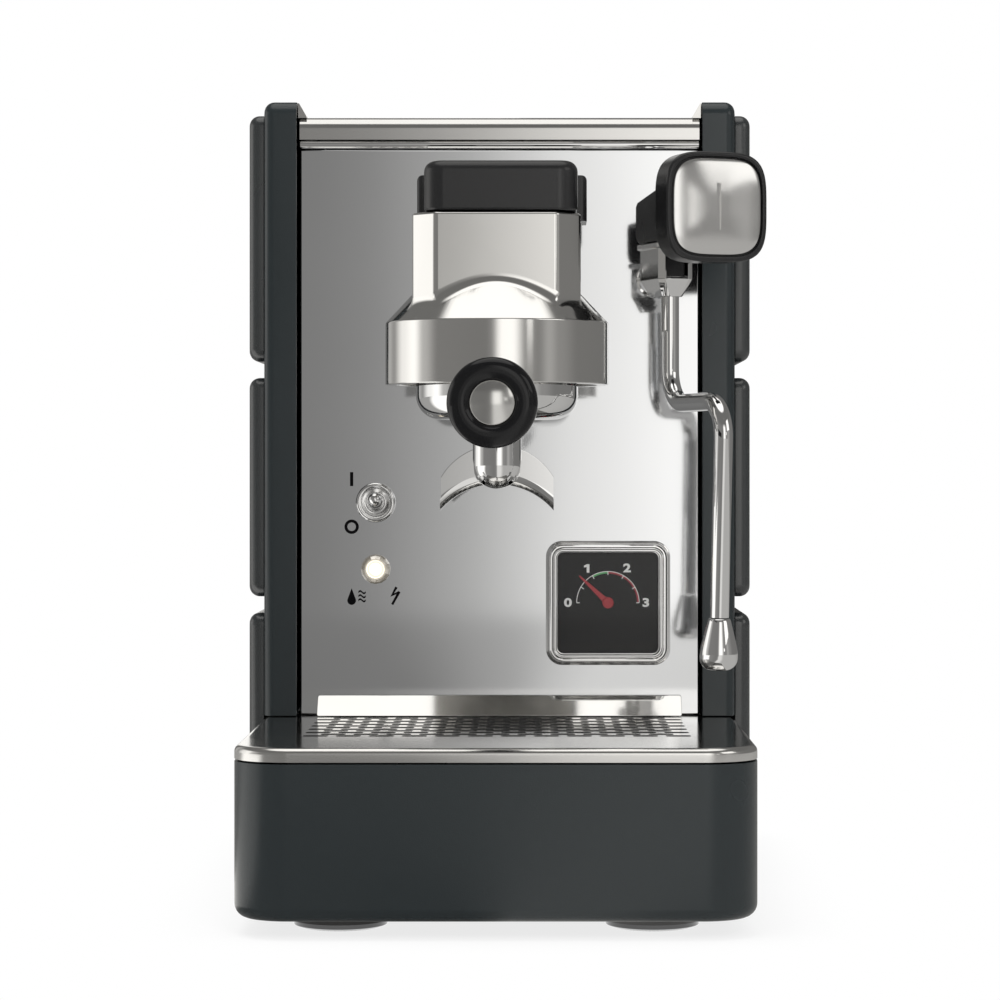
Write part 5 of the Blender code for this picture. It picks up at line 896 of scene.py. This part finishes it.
# LEVER BRACKET AND PIN
# A steel ear stands on the group's block, and a ground pin through it carries the paddle.
HINGE = Vector((0.002, -0.019, 0.331))
EAR = 0.007
low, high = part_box("lever_bracket")
bm = prism([(HINGE.y - EAR, low.z), (HINGE.y + EAR, low.z),
            *arc((HINGE.y, HINGE.z), EAR, 0, 180, 20)], X, low.x, high.x)
soften(bm, 0.0004)
bm = cut(bm, rod(0.0034, -0.02, 0.02, HINGE, ACROSS, 32))
piece("lever_ear", bm, satin_steel, "machine", "satin_steel", "lever_bracket")
bm = turned([(0, -0.030), (0.0026, -0.030), (0.003, -0.0296), (0.003, 0.0296), (0.0026, 0.030),
             (0, 0.030)], 32, HINGE, ACROSS)
piece("lever_axle", bm, satin_steel, "machine", "satin_steel", "lever_pin")


# PADDLE LEVER
# One moulding of black plastic with generous round edges: a wide paddle over the group, and a
# knuckle behind it that is slotted for the ear.
low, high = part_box("brew_lever")
UNDERSIDE = 0.321
bm = rounded_block((-0.0325, low.y, UNDERSIDE), (0.0365, -0.038, high.z), Z, 0.009, 10)
round_edges(bm, 0.005, 8, lies(Z, high.z), turns(1))
round_edges(bm, 0.0012, 3, lies(Z, UNDERSIDE), turns(1))
knuckle = arc((HINGE.y, HINGE.z), 0.0103, -90, 90, 24)[1:]
back = prism([(-0.046, low.z), (HINGE.y, low.z), *knuckle, (-0.046, high.z - 0.0016)],
             X, low.x, high.x)
round_edges(back, 0.0025, 5, lambda edge: lies(X, low.x)(edge) or lies(X, high.x)(edge),
            lambda edge: edge.verts[0].co.z + edge.verts[1].co.z > 2 * low.z + 0.0005)
bm = cut(joined(bm, back), block((-0.01375, -0.0322, 0.315), (0.01775, 0.0, 0.3395)),
         rod(0.0034, -0.0304, 0.0304, HINGE, ACROSS, 32))
piece("paddle", bm, black_plastic, "brew_lever", "black_plastic", "brew_lever")


# PORTAFILTER BODY
# Chromed brass: a deep bowl with a round foot, two bayonet lugs, and a collared socket in front
# that takes the handle.
grip_place = Matrix.Translation((0, GROUP_Y, 0.2365)) @ Matrix.Rotation(radians(91.5), 4, "X")
low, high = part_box("portafilter_body")
profile = [(0.004, low.z), *arc((0.026, low.z + 0.011), 0.011, -90, 0, 14),
           (0.037, high.z - 0.0005), (0.0365, high.z), (0.031, high.z), (0.0305, high.z - 0.0005),
           (0.0305, 0.2355), (0.0285, 0.2335), (0.004, 0.2335)]
bm = turned(profile, 128, GROUP_AXIS, closed=True)
for turn in (0, 180):
    lug = prism(band((0, GROUP_Y), 0.034, 0.0445, turn - 20, turn + 20, 10), Z, 0.2529, 0.2595)
    soften(lug, 0.0006, 3)
    bm = joined(bm, lug)
socket = turned([(0, 0.0338), (0.0065, 0.0338), (0.0065, 0.0405), (0.0065, 0.0595),
                 (0.006, 0.06), (0, 0.06)], 48)
socket.transform(grip_place)
piece("bowl", joined(bm, socket), bright_chrome, "portafilter", "chrome", "portafilter_body")


# FILTER BASKET
# A pressed steel basket with a rolled rim and a field of fine holes in its floor, sprung into the
# bowl.
low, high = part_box("filter_basket")
bm = turned([(0, low.z), (0.0266, low.z), (0.0280, low.z + 0.0006), (0.0286, low.z + 0.002),
             (0.030, high.z - 0.0009), (0.0354, high.z - 0.0009), (0.0358, high.z - 0.0005),
             (0.0354, high.z), (0.0291, high.z), (0.0277, low.z + 0.002), (0.0266, low.z + 0.0009),
             (0, low.z + 0.0009)], 96, GROUP_AXIS)
hole = rod(0.00045, low.z - 0.001, low.z + 0.002, steps=6)
piece("basket", cut(bm, repeated(hole, hole_spots(0.003, 8, 6))), satin_steel, "portafilter",
      "satin_steel", "filter_basket")


# PORTAFILTER HANDLE
# A moulded gloss handle that swells towards its end, screwed on the socket. A domed steel button
# closes the dish in the end.
def smoothed(points, rounds):
    """A line of points with its corners worn down, a given number of times. Both ends stay."""
    for step in range(rounds):
        worn = [points[0]]
        for a, b in zip(points, points[1:]):
            worn += [(a[0] * 0.75 + b[0] * 0.25, a[1] * 0.75 + b[1] * 0.25),
                     (a[0] * 0.25 + b[0] * 0.75, a[1] * 0.25 + b[1] * 0.75)]
        points = worn + [points[-1]]
    return points


gloss_black = finish("gloss_black", (0.006, 0.006, 0.0065), 0, 0.07, clouds=(30, 0.3),
                     Specular_IOR_Level=0.28)
START, END = 0.0603, 0.187565
swell = ((0.04, 0.01065), (0.22, 0.01134), (0.45, 0.01196), (0.62, 0.01294), (0.76, 0.01488),
         (0.88, 0.01716))
line = [(0.0095, START + 0.0006)]
line += [(radius, START + (END - START) * share) for share, radius in swell]
profile = [(0, START), (0.0089, START)] + smoothed(line + [(0.0183, END - 0.0045)], 2)
profile += arc((0.0138, END - 0.0045), 0.0045, 0, 90, 10)
profile += smoothed([(0.0136, END), (0.0112, END), (0.00985, END - 0.0010)], 2)
profile += [(0.00955, END - 0.0012), (0.00955, END - 0.004), (0, END - 0.004)]
bm = turned(profile, 96)
bm.transform(grip_place)
piece("grip", bm, gloss_black, "portafilter", "gloss_black", "portafilter_handle")
button_steel = finish("button_steel", (0.70, 0.695, 0.68), 1, 0.20, clouds=(60, 0.2))
bm = turned([(0, END - 0.0037), (0.00925, END - 0.0037), (0.00925, END - 0.0012),
             (0.0089, END - 0.0007), *arc((0, END - 0.01614), 0.0176, 60, 90, 12)[:-1],
             (0, END + 0.00146)], 64)
bm.transform(grip_place)
piece("grip_button", bm, button_steel, "portafilter", "polished_steel", "handle_button")


# TWIN SPOUT
# Chromed brass: a round neck screwed under the bowl ends in a ball, over an open arched trough
# that parts the coffee to both sides.
def bent(radius, level, tolerance=0.00002):
    """A test for edges on an arch round an axis that runs back under the group, at a level."""
    return lambda edge: all(abs(hypot(vert.co.x, vert.co.z - level) - radius) < tolerance
                            for vert in edge.verts)


def channel(inset, overrun):
    """The trough, or the room inside it, longer than it is made, with its lower edges rounded."""
    half, radius, centre, depth = 0.0258 + overrun, 0.0339 + inset, 0.1645, 0.010 - inset
    reach = degrees(asin(half / radius))
    lower = arc((0, centre), radius, 90 + reach, 90 - reach, 36)
    front, back = GROUP_Y - depth, GROUP_Y + depth
    bm = prism(lower + [(half, 0.228), (-half, 0.228)], Y, front, back)
    round_edges(bm, 0.0048 - inset, 7, bent(radius, centre),
                lambda edge: lies(Y, front)(edge) or lies(Y, back)(edge))
    return bm


low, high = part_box("portafilter_spout")
BALL_LEVEL, ARCH_LEVEL, ARCH_RADIUS = 0.2074, 0.1865, 0.030
around = [(0.045, 0.170), (0.045, 0.240), (-0.045, 0.240), (-0.045, 0.170)]
brim = [(-0.0258, 0.170), *arc((0, ARCH_LEVEL), ARCH_RADIUS, 149.3, 30.7, 32), (0.0258, 0.170)]
front_brim = arc((0, 0.1696), 0.0339, 144, 36, 32) + [(0.03, 0.230), (-0.03, 0.230)]
bm = cut(channel(0, 0.005), channel(0.0016, 0.0065),
         prism(brim + around, Y, GROUP_Y - 0.012, GROUP_Y + 0.012),
         prism(front_brim, Y, GROUP_Y - 0.012, GROUP_Y - 0.002),
         rod(0.01125, -0.02, 0, (0, GROUP_Y, BALL_LEVEL), BACK, 64))
stem = turned([(0, 0.1963), *arc((0, BALL_LEVEL), 0.0111, -90, 0, 16)[1:],
               (0.0111, high.z - 0.0004), (0.0107, high.z), (0.004, high.z), (0.004, 0.2033),
               (0, 0.2033)], 72, GROUP_AXIS)
bm = cut(joined(bm, stem), rod(0.0032, -0.0132, 0.0132, (0, GROUP_Y, 0.2065), ACROSS, 32))
round_edges(bm, 0.0003, 2, lambda edge: not runs(Y)(edge), bent(ARCH_RADIUS, ARCH_LEVEL, 0.00003))
piece("spout", bm, bright_chrome, "portafilter", "chrome", "portafilter_spout")


# STEAM TAP
# A chromed forked block with a chamfered foot and a thin collar, on a shank with a rose against
# the panel. An ear on top carries the lever's pin, and the wand hangs in a socket below.
TAP_PLACE = Matrix.Translation((0.0806, -0.034, 0)) @ Matrix.Rotation(radians(20), 4, "Z")
EAR_SPOT = (0.0138, 0.317)
TAP_HINGE = (0, *EAR_SPOT)
QUARTERS = ((0, 1, 1), (90, -1, 1), (180, -1, -1), (270, 1, -1))


def tap_ring(level, inset, corner=0.0026):
    """One level of the tap's block, in its own frame with the front at negative y."""
    half, middle, length = 0.0086 - inset, 0.00465, 0.01355 - inset
    outline = []
    for turn, right, up in QUARTERS:
        outline += arc((right * (half - corner), middle + up * (length - corner)), corner,
                       turn, turn + 90, 1)
    return [(a, b, level) for a, b in outline]


bm = loft([tap_ring(level, inset) for level, inset in (
    (0.286, 0.0038), (0.2864, 0.0034), (0.2937, 0.0002), (0.2943, 0), (0.308, 0),
    (0.3083, -0.0002), (0.3086, -0.0009), (0.3089, -0.0012), (0.3107, -0.0012),
    (0.3111, -0.0008))])
bm = cut(bm, block((-0.0055, -0.014, 0.2936), (0.0055, 0.004, 0.315)))
ear = prism([(0.0093, 0.3100), (0.0183, 0.3100)] + arc(EAR_SPOT, 0.0045, 0, 180, 18),
            X, -0.003, 0.003)
soften(ear, 0.0003)
bm = cut(joined(bm, ear), rod(0.0024, -0.006, 0.006, TAP_HINGE, ACROSS, 28),
         rod(0.00485, 0.284, 0.2909, steps=40))
bm.transform(TAP_PLACE)
shank = turned([(0, -0.0249), (0.0080, -0.0249), (0.0080, 0.0442), (0.0086, 0.0446),
                (0.0088, 0.0450), (0.0088, 0.0457), (0.0075, 0.0457), (0.0075, 0.0635),
                (0, 0.0635)], 64, (TAP[0], 0, TAP[1]), BACK)
piece("tap_block", joined(bm, shank), bright_chrome, "machine", "chrome", "steam_tap")
bm = turned([(0, -0.007), (0.0017, -0.007), (0.002, -0.0067), (0.002, 0.0067), (0.0017, 0.007),
             (0, 0.007)], 24, TAP_HINGE, ACROSS)
bm.transform(TAP_PLACE)
piece("tap_axle", bm, satin_steel, "machine", "satin_steel", "tap_lever_pin")


# TAP LEVER
# A moulded black arm over the tap, with a tail down in its fork and a soft square knob in front.
def knob_ring(reach, inset, steps=96):
    """One outline of the knob, at a reach in front of the tap's axis."""
    points = []
    for step in range(steps):
        turn = tau * (step + 0.5) / steps
        across = copysign(abs(cos(turn)) ** (2 / 3.8), cos(turn))
        up = copysign(abs(sin(turn)) ** (2 / 3.8), sin(turn))
        points.append(((0.02475 - inset) * across, -reach, 0.324 + (0.025 - inset) * up))
    return points


bm = prism([(-0.047, 0.3164), (-0.0085, 0.3114), *arc(EAR_SPOT, 0.0056, -90, 0, 10),
            (0.0194, 0.3294), (0.0174, 0.3314), (-0.004, 0.3354), (-0.047, 0.3336)],
           X, -0.0098, 0.0098)
round_edges(bm, 0.0012, 4, lambda edge: not runs(X)(edge)
            and not all(vert.co.y < -0.0469 for vert in edge.verts))
tail = block((-0.0049, -0.0065, 0.2955), (0.0049, 0.001, 0.3134))
soften(tail, 0.0006, 3)
rings = [(0.0398 + 0.003 * (1 - sin(turn)), 0.003 * (1 - cos(turn)))
         for turn in (radians(90 - 15 * step) for step in range(7))]
rings += [(0.0547 + 0.0014 * sin(radians(15 * step)), 0.0014 * (1 - cos(radians(15 * step))))
          for step in range(7)]
rings += [(0.0560, 0.0022), (0.0556, 0.0024), (0.0541, 0.0024)]
bm = joined(bm, tail, loft([knob_ring(reach, inset) for reach, inset in rings]))
bm = cut(bm, block((-0.0034, EAR_SPOT[0] - 0.00878, 0.309), (0.0034, 0.025, 0.3231)),
         rod(0.0024, -0.0074, 0.0074, TAP_HINGE, ACROSS, 28))
bm.transform(TAP_PLACE)
piece("tap_arm", bm, black_plastic, "tap_lever", "black_plastic", "tap_lever")


# KNOB FACE
# A slightly domed plate of satin steel, glued into the knob, with an upright engraved line.
face_steel = finish("face_steel", (0.80, 0.795, 0.785), 1, 0.19, grain=(700, 0.000002),
                    clouds=(30, 0.2), stretch=(1, 1, 14))
EDGE, EDGE_INSET, DOME, DOME_REACH = 0.0561, 0.0037, 0.0020, 0.0208
rings = [knob_ring(0.0544, 0.0034), knob_ring(0.0559, 0.0034), knob_ring(EDGE, EDGE_INSET)]
rings += [knob_ring(EDGE + DOME * rise, EDGE_INSET + DOME_REACH * share) for share, rise in (
    (0.06, 0.20), (0.16, 0.42), (0.30, 0.64), (0.48, 0.82), (0.68, 0.94), (0.84, 0.985))]
groove = block((-0.00105, -0.0600, 0.3135), (0.00105, -0.0570, 0.3345))
round_edges(groove, 0.0005, 4, runs(Y))
bm = cut(loft(rings), groove)
bm.transform(TAP_PLACE)
piece("knob_plate", bm, face_steel, "tap_lever", "satin_steel", "knob_face")


# STEAM WAND
# A bent chromed tube that swivels in the tap's socket, with a chromed nozzle pressed on its end.
# The nozzle swells to a round nose with one fine hole.
def piped(corners, radius, bend, steps=10, sides=32):
    """A round pipe along straight runs in one plane, with circular bends."""
    corners = [Vector(corner) for corner in corners]
    route = [(corners[0], (corners[1] - corners[0]).normalized())]
    for before, here, after in zip(corners, corners[1:], corners[2:]):
        back, ahead = (before - here).normalized(), (after - here).normalized()
        half = back.angle(ahead) / 2
        centre = here + (back + ahead).normalized() * bend / sin(half)
        first = (here + back * bend / tan(half) - centre).normalized()
        last = (here + ahead * bend / tan(half) - centre).normalized()
        for step in range(steps + 1):
            out = first.slerp(last, step / steps)
            along = (-back).slerp(ahead, step / steps)
            route.append((centre + out * bend, along))
    route.append((corners[-1], (corners[-1] - corners[-2]).normalized()))
    rings = []
    flat = (corners[1] - corners[0]).cross(corners[2] - corners[1]).normalized()
    for spot, along in route:
        side = along.cross(flat).normalized()
        rings.append([spot + radius * (flat * cos(turn) + side * sin(turn))
                      for turn in (tau * step / sides for step in range(sides))])
    return loft(rings)


PIPE, ELBOW, TUBE_END = 0.00425, (0, -0.0639, 0.236), (0, -0.0584, 0.1384)
bm = piped([(0, 0, 0.2906), (0, 0, 0.236), ELBOW, TUBE_END], PIPE, 0.016)
bm.transform(TAP_PLACE)
piece("wand_tube", bm, bright_chrome, "steam_wand", "chrome", "steam_wand")
end = TAP_PLACE @ Vector(TUBE_END)
along = (end - TAP_PLACE @ Vector(ELBOW)).normalized()
profile = [(0, 0.0003), (PIPE, 0.0003), (0.0047, 0.0006), (0.0051, 0.0012)]
profile += smoothed([(0.0051, 0.0012), (0.0082, 0.0130), (0.0086, 0.0160), (0.0086, 0.0184)], 2)
profile += arc((0.0031, 0.0184), 0.0055, 0, 90, 12)[1:] + [(0, 0.0239)]
bm = cut(turned(profile, 64, end, along), rod(0.0007, 0.0225, 0.026, end, along, 16))
piece("wand_nozzle", bm, bright_chrome, "steam_wand", "chrome", "wand_tip")


# TOGGLE SWITCH
# A chromed bezel with fine turned rings and a dish, screwed in the panel, and a chromed bat that
# tips in its socket.
turned_chrome = finish("turned_chrome", (0.86, 0.86, 0.86), 1, 0.14)
spot = Vector((SWITCH[0], face, SWITCH[1]))
edge = arc((0.0083, 0.0023), 0.0015, 0, 180, 12)
dish = smoothed([edge[-1], (0.0066, 0.0014), (0.0048, 0.0010), (0.0044, 0.0017), (0.0040, 0.0019),
                 (0.0036, 0.0012), (0.0031, 0.0008)], 1)
bm = turned([(0, -0.016), (0.006, -0.016), (0.006, 0.0003), (0.0098, 0.0003)] + edge + dish[1:]
            + [(0.0031, -0.005), (0, -0.005)], 96, spot, FORWARD)
piece("bezel", bm, turned_chrome, "machine", "chrome", "switch_bezel")
TILT = radians(8)
profile = [(0, -0.0028)] + arc((0, 0), 0.0028, -90, 50, 20)[1:] + [(0.0016, 0.0034)]
profile += smoothed([(0.0016, 0.0034), (0.0017, 0.0060), (0.0032, 0.0100)], 2)[1:-1]
profile += arc((0, 0.0111), 0.0034, 5, 90, 16)[:-1] + [(0, 0.0145)]
bm = turned(profile, 48, spot, (0, -cos(TILT), sin(TILT)))
piece("bat", bm, bright_chrome, "switch_bat", "chrome", "switch_bat")


# PILOT LAMP
# A clear faceted cap in the panel, silvered inside round a warm light.
spot = Vector((LAMP[0], face, LAMP[1]))
bm = turned([(0, -0.016), (0.006, -0.016), (0.006, 0.0003), (0.0073, 0.0003), (0.0073, 0.0014),
             (0.0066, 0.0028), (0.0052, 0.0040), (0.0045, 0.0040), (0.0040, 0.0030), (0, 0.0030)],
            16, spot, FORWARD)
facet_glass = finish("facet_glass", (0.74, 0.72, 0.69), 1, 0.24, Emission_Color=(1, 0.88, 0.68, 1))
tree = facet_glass.node_tree
away = vectors(tree, "LENGTH", vectors(tree, "SUBTRACT", place_on(tree), spot))
spread = ramped(tree, away, From_Min=0.0072, From_Max=0.0048, To_Min=0.08, To_Max=0.75)
tree.links.new(spread, tree.nodes["Principled BSDF"].inputs["Emission Strength"])
piece("lamp_cap", bm, facet_glass, "machine", "lamp", "lamp_lens", angle=8)
warm_light = finish("warm_light", (0.95, 0.90, 0.80), 0, 0.15, Emission_Color=(1, 0.86, 0.64, 1),
                    Emission_Strength=1.1)
bm = turned([(0, 0.0028), (0.0031, 0.0028), (0.0031, 0.0032), (0.0027, 0.0038), (0.0018, 0.0043),
             (0, 0.0045)], 40, spot, FORWARD)
piece("lamp_light", bm, warm_light, "machine", "lamp")


# PRESSURE GAUGE
# A square chromed frame, round at its corners, on a can that goes through the panel.
CENTRE = Vector((GAUGE[0], 0, GAUGE[1]))


def square_ring(inset, depth):
    """A square outline with round corners, at an inset from the edge of the gauge."""
    corner, half = 0.008 - 0.85 * inset, 0.0305 - inset
    points = []
    for turn, right, up in QUARTERS:
        middle = (CENTRE.x + right * (half - corner), CENTRE.z + up * (half - corner))
        points += arc(middle, corner, turn, turn + 90, 10)
    return [(a, depth, b) for a, b in points]


low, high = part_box("gauge_frame")
section = [(0, 0.0457), (0, 0.0405), (0.0002, 0.0401), (0.0006, 0.0399), (0.0011, 0.0401),
           (0.0013, 0.0404), (0.0015, 0.0400), (0.0016, 0.0386), (0.0019, 0.0377), (0.0024, 0.0372),
           (0.0029, 0.0372), (0.0034, 0.0377), (0.0036, 0.0384), (0.0038, 0.0388), (0.0041, 0.0386),
           (0.0044, 0.0382), (0.0048, 0.0382), (0.0051, 0.0386), (0.0052, 0.0392), (0.0052, 0.0445)]
bm = joined(loft([square_ring(inset, depth) for inset, depth in section]),
            rod(0.026, 0.0450, high.y, CENTRE, BACK, 80))
frame_chrome = finish("frame_chrome", (0.90, 0.90, 0.90), 1, 0.07)
piece("gauge_case", bm, frame_chrome, "machine", "chrome", "gauge_frame")


# GAUGE DIAL
# A black enamelled plate, printed with a coloured arc, short marks and four plain numbers.
def number_print(text, place, size=0.0057, wide=1.3):
    """A number in flat raised print, centred on its place and facing the front."""
    words = bpy.data.curves.new("at_work", "FONT")
    words.body = text
    words.size = size
    words.extrude = 0.00004
    words.offset = 0.00022
    words.align_x = "CENTER"
    words.align_y = "CENTER"
    thing = bpy.data.objects.new("at_work", words)
    scene.collection.objects.link(thing)
    bm = bmesh.new()
    mesh = thing.evaluated_get(bpy.context.evaluated_depsgraph_get()).to_mesh()
    bm.from_mesh(mesh)
    bpy.data.objects.remove(thing)
    bmesh.ops.remove_doubles(bm, verts=bm.verts, dist=0.000001)
    bmesh.ops.recalc_face_normals(bm, faces=bm.faces)
    bm.transform(Matrix.Translation(place) @ Matrix.Rotation(radians(90), 4, "X")
                 @ Matrix.Diagonal((wide, 1, 1, 1)))
    return bm


low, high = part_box("gauge_dial")
bm = rounded_block(low, high, Y, 0.0033, 8)
dial_enamel = finish("dial_enamel", (0.004, 0.004, 0.005), 0, 0.42, Specular_IOR_Level=0.25)
piece("dial", bm, dial_enamel, "machine", "gloss_black", "gauge_dial")
print_face, print_back = low.y - 0.00005, low.y + 0.0002
for name, colour, inner, outer, start, end in (
        ("dial_white", (0.80, 0.80, 0.78), 0.01525, 0.01560, 0, 180),
        ("dial_green", (0.10, 0.42, 0.14), 0.01440, 0.01522, 90, 120),
        ("dial_red", (0.36, 0.03, 0.045), 0.01440, 0.01522, 1, 90)):
    shapes = [prism(band((CENTRE.x, CENTRE.z), inner, outer, start, end, 30), Y, print_face,
                    print_back)]
    if name == "dial_white":
        for turn in range(0, 181, 30):
            reach = 0.0136 if turn % 180 else 0.0139
            mark = block((reach, print_face - 0.00002, -0.0002), (0.0153, print_back, 0.0002))
            mark.transform(Matrix.Translation((CENTRE.x, 0, CENTRE.z))
                           @ Matrix.Rotation(radians(-turn), 4, "Y"))
            shapes.append(mark)
        one = prism([(-0.0002, -0.0021), (0.0012, -0.0021), (0.0012, 0.0021), (-0.0001, 0.0021),
                     (-0.0015, 0.0014), (-0.0015, 0.0004), (-0.0002, 0.0007)], Y, -0.00002, 0.00004)
        one.transform(Matrix.Translation((0.0431, low.y, 0.1565)))
        shapes.append(one)
        for text, x, level in (("0", 0.0337, 0.1395), ("2", 0.0628, 0.1565), ("3", 0.0721, 0.1395)):
            shapes.append(number_print(text, (x, low.y, level)))
    piece(name, gathered(shapes), finish(name, colour, 0, 0.5), "machine", "gloss_black")


# GAUGE NEEDLE
# A red pressed needle on a small round hub, which turns on the movement's shaft.
PIVOT = Vector((CENTRE.x, 0.0429, CENTRE.z))
READING = -136.7
needle_red = finish("needle_red", (0.42, 0.018, 0.028), 0, 0.32)
bm = turned([(0, 0), (0.0026, 0), (0.0028, 0.0002), (0.0028, 0.0016), (0.0025, 0.0020),
             (0, 0.0020)], 40, PIVOT, FORWARD)
hand = prism([(0, -0.0015), (0.0190, -0.00035), (0.0196, 0), (0.0190, 0.00035), (0, 0.0015)],
             Y, -0.0013, -0.0007)
hand.transform(Matrix.Translation(PIVOT) @ Matrix.Rotation(radians(READING), 4, "Y"))
piece("needle", joined(bm, hand), needle_red, "gauge_needle", "needle", "gauge_needle")


# GAUGE GLASS
# A clear pane in the front of the frame. It mirrors only as much as glass does.
low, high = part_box("gauge_glass")
bm = rounded_block(low, high, Y, 0.0033, 8)
soften(bm, 0.0002, 1)
pane = finish("gauge_pane", (1, 1, 1), 1, 0.03)
tree = pane.node_tree
mirrored = wire(tree, "Fresnel", {"IOR": 1.25})
tree.links.new(mirrored.outputs[0], tree.nodes["Principled BSDF"].inputs["Alpha"])
piece("pane", bm, pane, "machine", "gauge_glass", "gauge_glass")


# PIECES INSIDE
# The plate behind the panel, the boiler with its fittings, the pump, the control box and the pipes
# keep the shapes of the frame, and take the finishes of the real parts.
copper = finish("copper", (0.72, 0.37, 0.22), 1, 0.24, clouds=(40, 0.3))
clear_silicone = finish("clear_silicone", (0.72, 0.72, 0.69), 0, 0.38, Subsurface_Weight=0.3)
inside = {"mounting_plate": satin_steel, "boiler": brass, "heating_element": satin_steel,
          "pressure_switch": black_plastic, "solenoid_valve": brass, "pump": black_plastic,
          "control_box": black_plastic, "suction_hose": clear_silicone, "feed_pipe": copper,
          "steam_pipe": copper}
for node, material in inside.items():
    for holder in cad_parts[node].material_slots:
        holder.material = material
